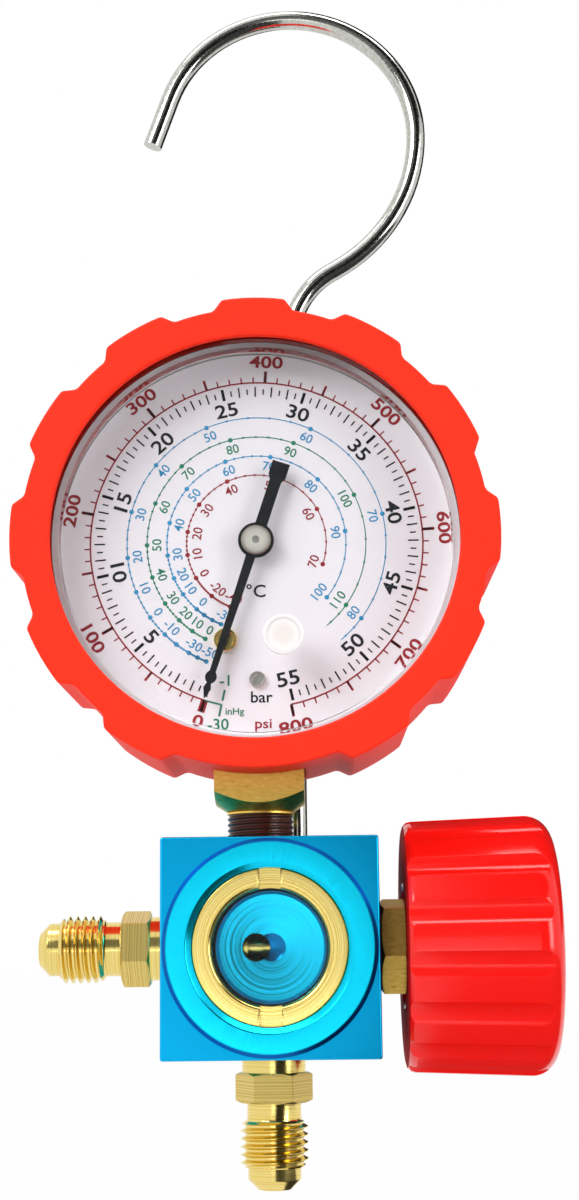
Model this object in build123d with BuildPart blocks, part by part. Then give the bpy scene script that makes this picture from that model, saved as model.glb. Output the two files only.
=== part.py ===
from build123d import *
import math
import os

# Refrigerant manifold gauge: one valve block with a sight glass, two flare ports, a handwheel
# valve, a booted pressure gauge and a wire hook. Millimetres, +Z up, dial facing -Y.
# The origin is where the part hangs: the inside top of the hook's loop.

os.makedirs("parts", exist_ok=True)

# Clearances
fixed_fit = 0.05           # between pieces that are screwed, glued or pressed together
running_fit = 0.06         # radial, where a shaft turns or slides
open_gap = 0.3             # between pieces that pass each other
cut_margin = 1.0           # how far a cut goes past the face it opens

# Hook wire
wire_diameter = 3.5
loop_radius = 24.0         # to the middle of the wire
loop_side_radius = 30.5
loop_turn = 160.4          # degrees of the round top
loop_centre_x = 4.2        # from the middle of the block
loop_centre_z = 151.3
loop_end_length = 10.0
hook_x = 4.2
hook_y = 15.0
hook_straight = 0.6        # of wire between the two bends
hook_slope = 29.0          # degrees above level, where the wire leaves the gauge
hook_seat_depth = 9.0

# Valve block
block_width = 35.0
block_height = 35.0
block_depth = 35.0
block_edge = 0.4
boss_radius = 17.2
boss_height = 0.7

# Sight glass
sight_bore_radius = 12.55
sight_countersink = 0.9
sight_ring_inner_radius = 9.3
sight_ring_thickness = 3.0
sight_ring_bevel = 0.6
sight_ring_slot_width = 3.5
sight_ring_slot_depth = 1.6
sight_glass_thickness = 3.5
sight_seal_thickness = 0.9
sight_cavity_radius = 9.0
sight_cavity_depth = 3.4
sight_hole_radius = 2.25
sight_hole_x = -2.5
sight_blind_radius = 2.0
sight_blind_depth = 1.2

# Gauge position and case
gauge_x = -1.85
stem_gap = 10.85           # from the block's top to the boot
case_radius = 34.0
case_wall = 0.8
case_front_y = -12.0
case_back_y = 11.0
case_corner = 2.5
lens_front_y = -17.5
lens_wall = 1.1            # of the skirt round the case
lens_thickness = 2.2
lens_skirt_depth = 8.5
lens_rim_width = 1.4
lens_edge = 1.0
gasket_thickness = 0.8
plug_x = 4.5               # lens plug from the dial centre
plug_z = -16.8
plug_head_radius = 3.35
plug_stem_radius = 2.55
plug_head_height = 0.6

# Dial and its screws
dial_clearance = 0.2       # round the dial, in the case
dial_thickness = 0.4
dial_front_y = -10.0
dial_hole_radius = 2.2
dial_screw_z = -23.2
dial_screw_head_radius = 1.35
dial_screw_radius = 0.7
dial_screw_grip = 3.0      # in the lug behind the dial
dial_screw_hole_depth = 7.0
zero_screw_x = -5.3
zero_screw_z = -16.5
zero_screw_head_radius = 1.94
zero_screw_radius = 0.9
screw_head_height = 0.8
screw_slot_width = 0.5
screw_slot_depth = 0.35

# Rubber boot
boot_wall = 3.4
boot_lobe_height = 1.8
boot_lobes = 12            # places round the rim; the one over the stem is empty
boot_lobe_top = 7.4        # degrees either side of a lobe's middle
boot_lobe_base = 9.4
boot_lip = 1.45            # over the lens, from its edge
boot_front_y = -19.4
boot_back_y = 12.9
boot_back_lip = 7.0        # over the back of the case
stem_window_top = 16.5     # below the dial centre
boot_front_edge = 0.8

# Gauge socket
shank_width = 15.0
shank_cone_bottom = 22.6   # above the block's centre
shank_square_bottom = 25.6
shank_cone_radius = 5.8
socket_thread_radius = 5.1
socket_thread_depth = 10.0
socket_head_width = 13.0
socket_head_top = -18.5    # from the dial centre
socket_head_front_y = -4.0
socket_head_back_y = 7.0
socket_port_radius = 1.6
socket_port_stop = 4.0     # below the head's top
tongue_height = 5.0
tongue_front_y = 2.0
lug_radius = 2.0

# Bourdon tube
tube_radius = 24.0
tube_width = 8.0           # along the gauge's axis
tube_height = 3.0
tube_wall = 0.4
tube_middle_y = 1.5
tube_start_angle = 262.0   # degrees, anticlockwise from the right, seen from the front
tube_end_angle = -22.0
tube_seat_angle = 32.0     # of the tube, held in the socket's head
tip_length = 4.0           # of the solid cap past the tube's end
tip_wall = 0.6
lug_thickness = 1.4
lug_width = 3.0

# Movement
plate_half_width = 9.0
plate_top = 6.0            # from the dial centre
plate_thickness = 1.0
front_plate_y = -6.4
back_plate_y = 0.9
pillar_x = 7.3
pillar_top_z = 3.6
pillar_low_z = -10.5
pillar_radius = 1.3
plate_corner = 2.0
movement_screw_x = 4.2
movement_screw_z = -15.9
movement_screw_radius = 0.6
movement_screw_head_radius = 1.1
movement_screw_length = 2.5
module = 0.2
pinion_teeth = 12
sector_full_teeth = 108
sector_teeth = 15
sector_teeth_left = 2      # teeth on the left of the line to the pinion, at rest
sector_rim = 1.2
sector_arm = 1.0
sector_hub_radius = 1.6
sector_window_inset = 6.0  # degrees, at the window's inner end
sector_thickness = 0.8
sector_y = -3.4
sector_tail = 4.6          # from the pivot to the link's pin
sector_tail_angle = 6.0    # degrees left of straight down, at rest
tooth_root_share = 0.40    # tooth width at its foot, as a share of the tooth pitch
tooth_tip_share = 0.16
tooth_addendum = 0.75      # in modules
tooth_dedendum = 1.05
arbor_radius = 0.6
arbor_front_y = -12.8
pinion_y = -4.0
pinion_length = 2.4
collet_y = -5.1
collet_radius = 1.05
collet_length = 0.8
pin_radius = 0.45
pin_head_radius = 0.8
pin_head_thickness = 0.3
slot_play = 0.35
slot_side_play = 0.12
tail_bar_width = 2.2
link_y = -2.3
link_thickness = 0.5
link_width = 1.8
link_bar_width = 1.26
tip_pin_x = 14.5
tip_pin_z = -15.4
spring_turns = 4
spring_inner_radius = 1.2
spring_pitch = 0.85
spring_strip = 0.22
spring_height = 0.5
spring_y = -4.9
stud_radius = 0.5

# Pointer
pointer_length = 28.0
pointer_tail_length = 14.0
pointer_thickness = 0.4
pointer_y = -12.4
pointer_hub_radius = 3.0
pointer_bush_radius = 2.5
pointer_rest_angle = 18.34   # degrees clockwise from straight down: zero pressure
needle_root_width = 1.7
needle_tip_width = 1.0
tail_width = 2.0
tail_head_width = 3.0
tail_head_length = 3.4
needle_oval_share = 0.865
needle_oval_length = 2.2
needle_oval_width = 1.9
lozenge_middle = 26.2
lozenge_width = 1.3
bush_flange = 0.5
bush_sleeve_radius = 1.3
bush_sleeve_length = 1.2

# Hose fittings, quarter inch flare
flare_thread_radius = 5.556
flare_thread_length = 7.0
flare_neck_radius = 4.45
flare_neck_length = 3.1
flare_hex_flats = 11.1
flare_hex_length = 4.9
flare_collar_radius = 5.25
flare_collar_length = 2.7
flare_nose_radius = 4.35
flare_nose_length = 2.1
flare_cone_length = 1.6
flare_bore_radius = 2.3
flare_root_radius = 4.8
flare_root_length = 8.0
bottom_port_x = 0.0
left_hex_turn = 11.0
bottom_hex_turn = 0.0

# Valve: piston, stem and bonnet along +X from the block's centre
valve_bore_radius = 5.5
seat_x = -6.0
seal_thickness = 1.2
seal_radius = 3.8
piston_head_radius = 4.6
piston_head_x = -4.0
piston_neck_radius = 2.4
piston_groove_x = -1.6
piston_groove_width = 0.7
piston_body_x = 2.2
piston_end_x = 9.0
o_ring_x = 4.6
o_ring_width = 1.6
o_ring_depth = 1.3
stem_pocket_radius = 3.4
stem_collar_x = 6.9
stem_collar_length = 1.1
stem_neck_radius = 2.4
retainer_thickness = 0.8
stem_thread_radius = 3.9
stem_thread_x = 9.8
stem_thread_end_x = 15.7
stem_lift = 4.1            # travel from closed to fully open
stem_shaft_radius = 2.5
drive_x = 27.0
drive_width = 4.2
drive_corner = 0.3
stem_end_x = 41.0
bonnet_root_radius = 6.0
bonnet_seal_thickness = 0.5
bonnet_hex_flats = 14.3
bonnet_hex_length = 4.4
bonnet_hex_turn = 11.6
gland_radius = 4.2
gland_x = 20.4
gland_width = 1.5

# Handwheel
wheel_inner_x = 21.85
wheel_outer_x = 46.65
wheel_inner_radius = 20.6
wheel_outer_radius = 21.5
wheel_inner_corner = 1.2
wheel_outer_corner = 4.2
wheel_ribs = 16
wheel_rib_angle = 3.2      # degrees above the front, where one rib lies
flute_depth = 0.8
flute_width = 4.4
recess_radius = 10.0
recess_depth = 7.4
cap_radius = 13.0
cap_thickness = 2.0
cap_inset = 0.3
wheel_screw_radius = 1.4
wheel_screw_head_radius = 3.2
wheel_screw_head_height = 2.0
wheel_screw_length = 10.0
wheel_screw_slot_width = 1.0
wheel_screw_slot_depth = 0.7
screw_pocket_radius = 5.0

# Places worked out from the sizes above. The block's centre is below the hang point.
lens_radius = case_radius + 2 * fixed_fit + lens_wall
lens_rim_inner_radius = case_radius - lens_rim_width
dial_radius = case_radius - case_wall - dial_clearance
boot_opening_radius = lens_radius - boot_lip
boot_back_opening_radius = case_radius - boot_back_lip
boot_valley_radius = lens_radius + boot_wall
boot_lobe_radius = boot_valley_radius + boot_lobe_height
gauge_height = block_height / 2 + stem_gap + boot_valley_radius
stem_window_height = gauge_height - shank_square_bottom - stem_window_top
hang_height = loop_centre_z + loop_radius - wire_diameter / 2
block_centre = Vector(-loop_centre_x, -hook_y, -hang_height)
gauge_centre = block_centre + Vector(gauge_x, 0, gauge_height)
across = Vector(1, 0, 0)
back = Vector(0, 1, 0)
up = Vector(0, 0, 1)


def front_view(centre, y=0.0, x=0.0, z=0.0):
    """Plane seen from the front: local x to the right, local y upwards, normal out of the dial."""
    return Plane(origin=centre + Vector(x, y, z), x_dir=(1, 0, 0), z_dir=(0, -1, 0))


def top_view(centre, z=0.0, x=0.0, y=0.0):
    """Level plane: local x to the right, local y to the back."""
    return Plane(origin=centre + Vector(x, y, z), x_dir=(1, 0, 0), z_dir=(0, 0, 1))


def side_view(centre, x=0.0):
    """Plane across the valve's axis: local x to the back, local y upwards, normal along +X."""
    return Plane(origin=centre + Vector(x, 0, 0), x_dir=(0, 1, 0), z_dir=(1, 0, 0))


def outline(plane, *points):
    """Closed outline with straight sides, as a flat face on the plane."""
    with BuildSketch(plane) as drawn:
        with BuildLine():
            Polyline(*points, close=True)
        make_face()
    return drawn.sketch


def disc(plane, radius, hole=0.0):
    """Round face on the plane, with a hole where one is asked for."""
    with BuildSketch(plane) as drawn:
        Circle(radius)
        if hole:
            Circle(hole, mode=Mode.SUBTRACT)
    return drawn.sketch


def save(part, name):
    part.label = name
    export_step(part, f"parts/{name}.step")


def tube_section(angle, grow=0.0):
    """Section of the flattened tube at an angle round the dial, larger all round by grow."""
    turn = math.radians(angle)
    place = Plane(origin=gauge_centre, x_dir=(math.cos(turn), 0, math.sin(turn)),
                  z_dir=(-math.sin(turn), 0, math.cos(turn)))
    with BuildSketch(place) as drawn:
        with Locations((tube_radius, tube_middle_y)):
            Rectangle(tube_height + 2 * grow, tube_width + 2 * grow)
        chamfer(drawn.vertices(), tube_height / 3)
    return drawn.sketch


gauge_section = top_view(gauge_centre)
gauge_axis = Axis(gauge_centre, back)
sight_section = top_view(block_centre)
sight_axis = Axis(block_centre, back)
valve_section = front_view(block_centre)
valve_axis = Axis(block_centre, across)
stem_line = front_view(block_centre, x=gauge_x)
stem_line_axis = Axis(block_centre + Vector(gauge_x, 0, 0), up)


# Hook: one wire from the block, up behind the gauge, round the loop and back to a cut end
slope = math.radians(hook_slope)
side_start_x = loop_centre_x + loop_radius - loop_side_radius * (1 - math.sin(slope))
side_start_z = loop_centre_z - loop_side_radius * math.cos(slope)
bend_tangent = (side_start_x - hook_x) / math.cos(slope) - hook_straight
hook_bend_radius = bend_tangent / math.tan((math.pi / 2 - slope) / 2)
corner_z = side_start_z - (side_start_x - hook_x) * math.tan(slope)
wire_start_z = block_height / 2 - hook_seat_depth

with BuildPart() as hook:
    with BuildLine(front_view(block_centre, y=hook_y)) as route:
        riser = Line((hook_x, wire_start_z), (hook_x, corner_z - bend_tangent))
        bend = JernArc(riser @ 1, riser % 1, hook_bend_radius, hook_slope - 90)
        ramp = Line(bend @ 1, (side_start_x, side_start_z))
        side = JernArc(ramp @ 1, ramp % 1, loop_side_radius, 90 - hook_slope)
        top = JernArc(side @ 1, side % 1, loop_radius, loop_turn)
        end = PolarLine(top @ 1, loop_end_length, direction=top % 1)
    with BuildSketch(top_view(block_centre, z=wire_start_z, x=hook_x, y=hook_y)):
        Circle(wire_diameter / 2)
    sweep(path=route.line)
save(hook.part, "hook")


# Valve block
front_y = -block_depth / 2
boss_front_y = front_y - boss_height
sight_ring_y = boss_front_y + sight_countersink
sight_glass_y = sight_ring_y + sight_ring_thickness + fixed_fit
sight_seal_y = sight_glass_y + sight_glass_thickness + fixed_fit
sight_ledge_y = sight_seal_y + sight_seal_thickness
sight_floor_y = sight_ledge_y + sight_cavity_depth
bonnet_root_x = piston_end_x + stem_lift + open_gap
bonnet_thread_end_x = stem_thread_end_x + stem_lift + fixed_fit
bonnet_bore_x = bonnet_root_x - open_gap
fitting_seat = block_width / 2 - flare_root_length - open_gap

with BuildPart() as valve_block:
    with BuildSketch(side_view(block_centre, x=-block_width / 2)):
        Rectangle(block_depth, block_height)
    extrude(amount=block_width)
    chamfer(valve_block.edges(), block_edge)
    extrude(disc(front_view(block_centre, y=front_y), boss_radius), amount=boss_height)
    chamfer(valve_block.edges().group_by(Axis.Y)[0], boss_height - fixed_fit)
    revolve(outline(sight_section, (0, boss_front_y - cut_margin),
                    (sight_bore_radius + sight_countersink + cut_margin,
                     boss_front_y - cut_margin),
                    (sight_bore_radius, sight_ring_y), (sight_bore_radius, sight_ledge_y),
                    (sight_cavity_radius, sight_ledge_y), (sight_cavity_radius, sight_floor_y),
                    (0, sight_floor_y)), axis=sight_axis, mode=Mode.SUBTRACT)
    extrude(disc(front_view(block_centre, y=sight_floor_y), sight_blind_radius),
            amount=-sight_blind_depth, mode=Mode.SUBTRACT)
    extrude(disc(front_view(block_centre, y=sight_floor_y, x=sight_hole_x), sight_hole_radius),
            amount=sight_floor_y, mode=Mode.SUBTRACT)
    revolve(outline(valve_section, (seat_x, 0), (seat_x, valve_bore_radius),
                    (bonnet_bore_x, valve_bore_radius),
                    (bonnet_bore_x, bonnet_root_radius + fixed_fit),
                    (block_width / 2, bonnet_root_radius + fixed_fit), (block_width / 2, 0)),
            axis=valve_axis, mode=Mode.SUBTRACT)
    revolve(outline(valve_section, (-block_width / 2, 0),
                    (-block_width / 2, flare_root_radius + fixed_fit),
                    (-fitting_seat, flare_root_radius + fixed_fit),
                    (-fitting_seat, flare_bore_radius), (seat_x, flare_bore_radius),
                    (seat_x, 0)), axis=valve_axis, mode=Mode.SUBTRACT)
    bottom_axis = Axis(block_centre + Vector(bottom_port_x, 0, 0), up)
    revolve(outline(front_view(block_centre, x=bottom_port_x), (0, -block_height / 2),
                    (flare_root_radius + fixed_fit, -block_height / 2),
                    (flare_root_radius + fixed_fit, -fitting_seat),
                    (flare_bore_radius, -fitting_seat), (flare_bore_radius, 0), (0, 0)),
            axis=bottom_axis, mode=Mode.SUBTRACT)
    socket_seat_z = block_height / 2 - socket_thread_depth - open_gap
    revolve(outline(stem_line, (0, block_height / 2),
                    (socket_thread_radius + fixed_fit, block_height / 2),
                    (socket_thread_radius + fixed_fit, socket_seat_z),
                    (socket_port_radius, socket_seat_z), (socket_port_radius, 0), (0, 0)),
            axis=stem_line_axis, mode=Mode.SUBTRACT)
    extrude(disc(top_view(block_centre, z=block_height / 2, x=hook_x, y=hook_y),
                 wire_diameter / 2 + fixed_fit),
            amount=-hook_seat_depth - fixed_fit, mode=Mode.SUBTRACT)
save(valve_block.part, "valve_block")


# Sight glass: spanner ring, glass and flat seal
with BuildPart() as sight_glass_ring:
    ring_back_y = sight_ring_y + sight_ring_thickness
    ring_outer = sight_bore_radius - fixed_fit
    revolve(outline(sight_section, (sight_ring_inner_radius + sight_ring_bevel, sight_ring_y),
                    (ring_outer, sight_ring_y), (ring_outer, ring_back_y),
                    (sight_ring_inner_radius, ring_back_y),
                    (sight_ring_inner_radius, sight_ring_y + sight_ring_bevel)),
            axis=sight_axis)
    with BuildSketch(front_view(block_centre, y=sight_ring_y)):
        Rectangle(sight_ring_slot_width, 2 * sight_bore_radius)
    extrude(amount=-sight_ring_slot_depth, mode=Mode.SUBTRACT)
save(sight_glass_ring.part, "sight_glass_ring")

with BuildPart() as sight_glass_lens:
    extrude(disc(front_view(block_centre, y=sight_glass_y), sight_bore_radius - fixed_fit),
            amount=-sight_glass_thickness)
save(sight_glass_lens.part, "sight_glass_lens")

with BuildPart() as sight_glass_seal:
    extrude(disc(front_view(block_centre, y=sight_seal_y), sight_bore_radius - fixed_fit,
                 sight_cavity_radius), amount=-sight_seal_thickness)
save(sight_glass_seal.part, "sight_glass_seal")


# Hose fittings
def hose_fitting(mouth, hex_turn):
    """Flare fitting whose shoulder lies on the plane, with the hose end along its normal."""
    section = Plane(origin=mouth.origin, x_dir=mouth.x_dir, z_dir=mouth.x_dir.cross(mouth.z_dir))
    axis = Axis(mouth.origin, mouth.z_dir)
    hex_start = flare_collar_length
    neck_start = hex_start + flare_hex_length
    thread_start = neck_start + flare_neck_length
    nose_start = thread_start + flare_thread_length
    cone_start = nose_start + flare_nose_length
    tip = cone_start + flare_cone_length
    tip_radius = flare_nose_radius - flare_cone_length
    hex_corner = flare_hex_flats / math.sqrt(3)
    relief = hex_corner - flare_hex_flats / 2
    with BuildPart() as fitting:
        with BuildSketch(mouth.offset(hex_start)):
            RegularPolygon(flare_hex_flats / 2, 6, major_radius=False, rotation=hex_turn)
        extrude(amount=flare_hex_length)
        revolve(outline(section, (0, hex_start), (flare_hex_flats / 2, hex_start),
                        (hex_corner, hex_start + relief / 2),
                        (hex_corner, neck_start - relief / 2),
                        (flare_hex_flats / 2, neck_start), (0, neck_start)),
                axis=axis, mode=Mode.INTERSECT)
        revolve(outline(section, (0, -flare_root_length), (flare_root_radius, -flare_root_length),
                        (flare_root_radius, 0), (flare_collar_radius, 0),
                        (flare_collar_radius, hex_start), (0, hex_start)), axis=axis)
        revolve(outline(section, (0, neck_start), (flare_neck_radius, neck_start),
                        (flare_neck_radius, thread_start), (flare_thread_radius, thread_start),
                        (flare_thread_radius, nose_start), (flare_nose_radius, nose_start),
                        (flare_nose_radius, cone_start), (tip_radius, tip), (0, tip)), axis=axis)
        extrude(disc(mouth.offset(tip), flare_bore_radius), amount=-flare_root_length - tip,
                mode=Mode.SUBTRACT)
    return fitting.part


left_mouth = Plane(origin=block_centre - across * block_width / 2, x_dir=(0, 0, 1),
                   z_dir=(-1, 0, 0))
save(hose_fitting(left_mouth, left_hex_turn), "hose_fitting_left")

bottom_mouth = Plane(origin=block_centre + Vector(bottom_port_x, 0, -block_height / 2),
                     x_dir=(1, 0, 0), z_dir=(0, 0, -1))
save(hose_fitting(bottom_mouth, bottom_hex_turn), "hose_fitting_bottom")


# Valve bonnet, its seal and the stem's packing
bonnet_hex_x = block_width / 2 + bonnet_seal_thickness
bonnet_end_x = bonnet_hex_x + bonnet_hex_length

with BuildPart() as bonnet_nut:
    with BuildSketch(side_view(block_centre, x=bonnet_hex_x)):
        RegularPolygon(bonnet_hex_flats / 2, 6, major_radius=False, rotation=bonnet_hex_turn)
    extrude(amount=bonnet_hex_length)
    bonnet_corner = bonnet_hex_flats / math.sqrt(3)
    bonnet_relief = (bonnet_corner - bonnet_hex_flats / 2) / 2
    revolve(outline(valve_section, (bonnet_hex_x, 0), (bonnet_hex_x, bonnet_hex_flats / 2),
                    (bonnet_hex_x + bonnet_relief, bonnet_corner),
                    (bonnet_end_x - bonnet_relief, bonnet_corner),
                    (bonnet_end_x, bonnet_hex_flats / 2), (bonnet_end_x, 0)),
            axis=valve_axis, mode=Mode.INTERSECT)
    revolve(outline(valve_section, (bonnet_root_x, 0), (bonnet_root_x, bonnet_root_radius),
                    (bonnet_hex_x, bonnet_root_radius), (bonnet_hex_x, 0)), axis=valve_axis)
    revolve(outline(valve_section, (bonnet_root_x, 0),
                    (bonnet_root_x, stem_thread_radius + running_fit),
                    (bonnet_thread_end_x, stem_thread_radius + running_fit),
                    (bonnet_thread_end_x, stem_shaft_radius + running_fit),
                    (gland_x, stem_shaft_radius + running_fit), (gland_x, gland_radius),
                    (gland_x + gland_width, gland_radius),
                    (gland_x + gland_width, stem_shaft_radius + running_fit),
                    (bonnet_end_x, stem_shaft_radius + running_fit), (bonnet_end_x, 0)),
            axis=valve_axis, mode=Mode.SUBTRACT)
save(bonnet_nut.part, "bonnet_nut")

with BuildPart() as bonnet_seal:
    extrude(disc(side_view(block_centre, x=block_width / 2), bonnet_hex_flats / 2 + fixed_fit,
                 bonnet_root_radius + fixed_fit), amount=bonnet_seal_thickness)
save(bonnet_seal.part, "bonnet_seal")

with BuildPart() as stem_packing:
    extrude(disc(side_view(block_centre, x=gland_x + fixed_fit), gland_radius - fixed_fit,
                 stem_shaft_radius + running_fit), amount=gland_width - 2 * fixed_fit)
save(stem_packing.part, "stem_packing")


# Valve piston with its seat seal and o-ring
seal_face_x = seat_x + fixed_fit
seal_back_x = seal_face_x + seal_thickness
piston_body_radius = valve_bore_radius - running_fit
o_ring_bed_radius = valve_bore_radius - o_ring_depth
stem_collar_radius = stem_pocket_radius - running_fit
pocket_end_x = stem_collar_x - running_fit
retainer_x = stem_collar_x + stem_collar_length + running_fit

with BuildPart() as seat_piston:
    revolve(outline(valve_section, (seal_face_x + seal_thickness / 2, 0),
                    (seal_face_x + seal_thickness / 2, piston_head_radius),
                    (piston_head_x, piston_head_radius), (piston_head_x, piston_neck_radius),
                    (piston_groove_x, piston_neck_radius),
                    (piston_groove_x, piston_neck_radius - piston_groove_width),
                    (piston_groove_x + piston_groove_width, piston_neck_radius - piston_groove_width),
                    (piston_groove_x + piston_groove_width, piston_neck_radius),
                    (piston_body_x, piston_neck_radius), (piston_body_x, piston_body_radius),
                    (o_ring_x, piston_body_radius), (o_ring_x, o_ring_bed_radius),
                    (o_ring_x + o_ring_width, o_ring_bed_radius),
                    (o_ring_x + o_ring_width, piston_body_radius),
                    (piston_end_x, piston_body_radius), (piston_end_x, stem_pocket_radius),
                    (pocket_end_x, stem_pocket_radius), (pocket_end_x, 0)), axis=valve_axis)
    revolve(outline(valve_section, (seal_face_x, 0), (seal_face_x, seal_radius + fixed_fit),
                    (seal_back_x, seal_radius + fixed_fit), (seal_back_x, 0)),
            axis=valve_axis, mode=Mode.SUBTRACT)
save(seat_piston.part, "seat_piston")

with BuildPart() as seat_seal:
    extrude(disc(side_view(block_centre, x=seal_face_x), seal_radius), amount=seal_thickness)
save(seat_seal.part, "seat_seal")

with BuildPart() as piston_o_ring:
    extrude(disc(side_view(block_centre, x=o_ring_x + fixed_fit), piston_body_radius,
                 o_ring_bed_radius), amount=o_ring_width - 2 * fixed_fit)
save(piston_o_ring.part, "piston_o_ring")

with BuildPart() as stem_retainer:
    extrude(disc(side_view(block_centre, x=retainer_x), stem_pocket_radius - fixed_fit,
                 stem_neck_radius + running_fit), amount=retainer_thickness)
save(stem_retainer.part, "stem_retainer")


# Valve stem: collar in the piston, thread in the bonnet, square drive in the handwheel
with BuildPart() as valve_stem:
    revolve(outline(valve_section, (stem_collar_x, 0), (stem_collar_x, stem_collar_radius),
                    (stem_collar_x + stem_collar_length, stem_collar_radius),
                    (stem_collar_x + stem_collar_length, stem_neck_radius),
                    (stem_thread_x, stem_neck_radius), (stem_thread_x, stem_thread_radius),
                    (stem_thread_end_x, stem_thread_radius),
                    (stem_thread_end_x, stem_shaft_radius), (drive_x, stem_shaft_radius),
                    (drive_x, 0)), axis=valve_axis)
    with BuildSketch(side_view(block_centre, x=drive_x)):
        RectangleRounded(drive_width, drive_width, drive_corner)
    extrude(amount=stem_end_x - drive_x)
    extrude(disc(side_view(block_centre, x=stem_end_x), wheel_screw_radius + fixed_fit),
            amount=-wheel_screw_length, mode=Mode.SUBTRACT)
save(valve_stem.part, "valve_stem")


# Handwheel: tapered round body, rounded outer edge, flutes cut between the ribs
wheel_length = wheel_outer_x - wheel_inner_x
wheel_taper = math.atan2(wheel_outer_radius - wheel_inner_radius, wheel_length)
flute_radius = (flute_width ** 2 / 4 + flute_depth ** 2) / (2 * flute_depth)
flute_axis_radius = wheel_inner_radius - flute_depth + flute_radius
cap_x = wheel_outer_x - cap_inset - cap_thickness
screw_seat_x = stem_end_x + fixed_fit


def flute_start(angle):
    """Plane at a flute's inner end, leaning outwards with the wheel's taper."""
    out = Vector(0, -math.cos(angle), math.sin(angle))
    lean = out * math.cos(wheel_taper) - across * math.sin(wheel_taper)
    along = across * math.cos(wheel_taper) + out * math.sin(wheel_taper)
    middle = block_centre + across * wheel_inner_x + out * flute_axis_radius
    return Plane(origin=middle - along * cut_margin, x_dir=lean, z_dir=along)


with BuildPart() as handwheel:
    with BuildSketch(valve_section):
        with BuildLine():
            Polyline((wheel_inner_x, 0), (wheel_inner_x, wheel_inner_radius),
                     (wheel_outer_x, wheel_outer_radius), (wheel_outer_x, 0), close=True)
        make_face()
    revolve(axis=valve_axis)
    chamfer(handwheel.edges().group_by(Axis.X)[0], wheel_inner_corner)
    fillet(handwheel.edges().group_by(Axis.X)[-1], wheel_outer_corner)
    for rib in range(wheel_ribs):
        angle = math.radians(wheel_rib_angle + 360 / wheel_ribs * (rib + 0.5))
        extrude(disc(flute_start(angle), flute_radius), amount=wheel_length + 2 * cut_margin,
                mode=Mode.SUBTRACT)
    revolve(outline(valve_section, (wheel_inner_x, 0), (wheel_inner_x, recess_radius),
                    (wheel_inner_x + recess_depth, recess_radius),
                    (wheel_inner_x + recess_depth, 0)), axis=valve_axis, mode=Mode.SUBTRACT)
    revolve(outline(valve_section, (wheel_outer_x, 0), (wheel_outer_x, cap_radius + fixed_fit),
                    (cap_x, cap_radius + fixed_fit), (cap_x, screw_pocket_radius),
                    (screw_seat_x, screw_pocket_radius), (screw_seat_x, 0)),
            axis=valve_axis, mode=Mode.SUBTRACT)
    with BuildSketch(side_view(block_centre, x=wheel_inner_x)):
        RectangleRounded(drive_width + 2 * fixed_fit, drive_width + 2 * fixed_fit, drive_corner)
    extrude(amount=wheel_length, mode=Mode.SUBTRACT)
save(handwheel.part, "handwheel")

with BuildPart() as handwheel_screw:
    revolve(outline(valve_section, (screw_seat_x - wheel_screw_length + open_gap, 0),
                    (screw_seat_x - wheel_screw_length + open_gap, wheel_screw_radius),
                    (screw_seat_x, wheel_screw_radius),
                    (screw_seat_x, wheel_screw_head_radius),
                    (screw_seat_x + wheel_screw_head_height, wheel_screw_head_radius),
                    (screw_seat_x + wheel_screw_head_height, 0)), axis=valve_axis)
    with BuildSketch(side_view(block_centre, x=screw_seat_x + wheel_screw_head_height)):
        Rectangle(wheel_screw_slot_width, 2 * (wheel_screw_head_radius + cut_margin))
    extrude(amount=-wheel_screw_slot_depth, mode=Mode.SUBTRACT)
save(handwheel_screw.part, "handwheel_screw")

with BuildPart() as handwheel_cap:
    extrude(disc(side_view(block_centre, x=cap_x), cap_radius), amount=cap_thickness)
    chamfer(handwheel_cap.edges().group_by(Axis.X)[-1], cap_inset)
save(handwheel_cap.part, "handwheel_cap")


# Gauge socket: square shank turned to a cone, thread below, head and tongue inside the case
case_inner_radius = case_radius - case_wall
socket_head_z = gauge_height + socket_head_top
shank_top_z = (gauge_height - math.sqrt(case_inner_radius ** 2 - shank_width ** 2 / 4)
               + cut_margin)

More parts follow.
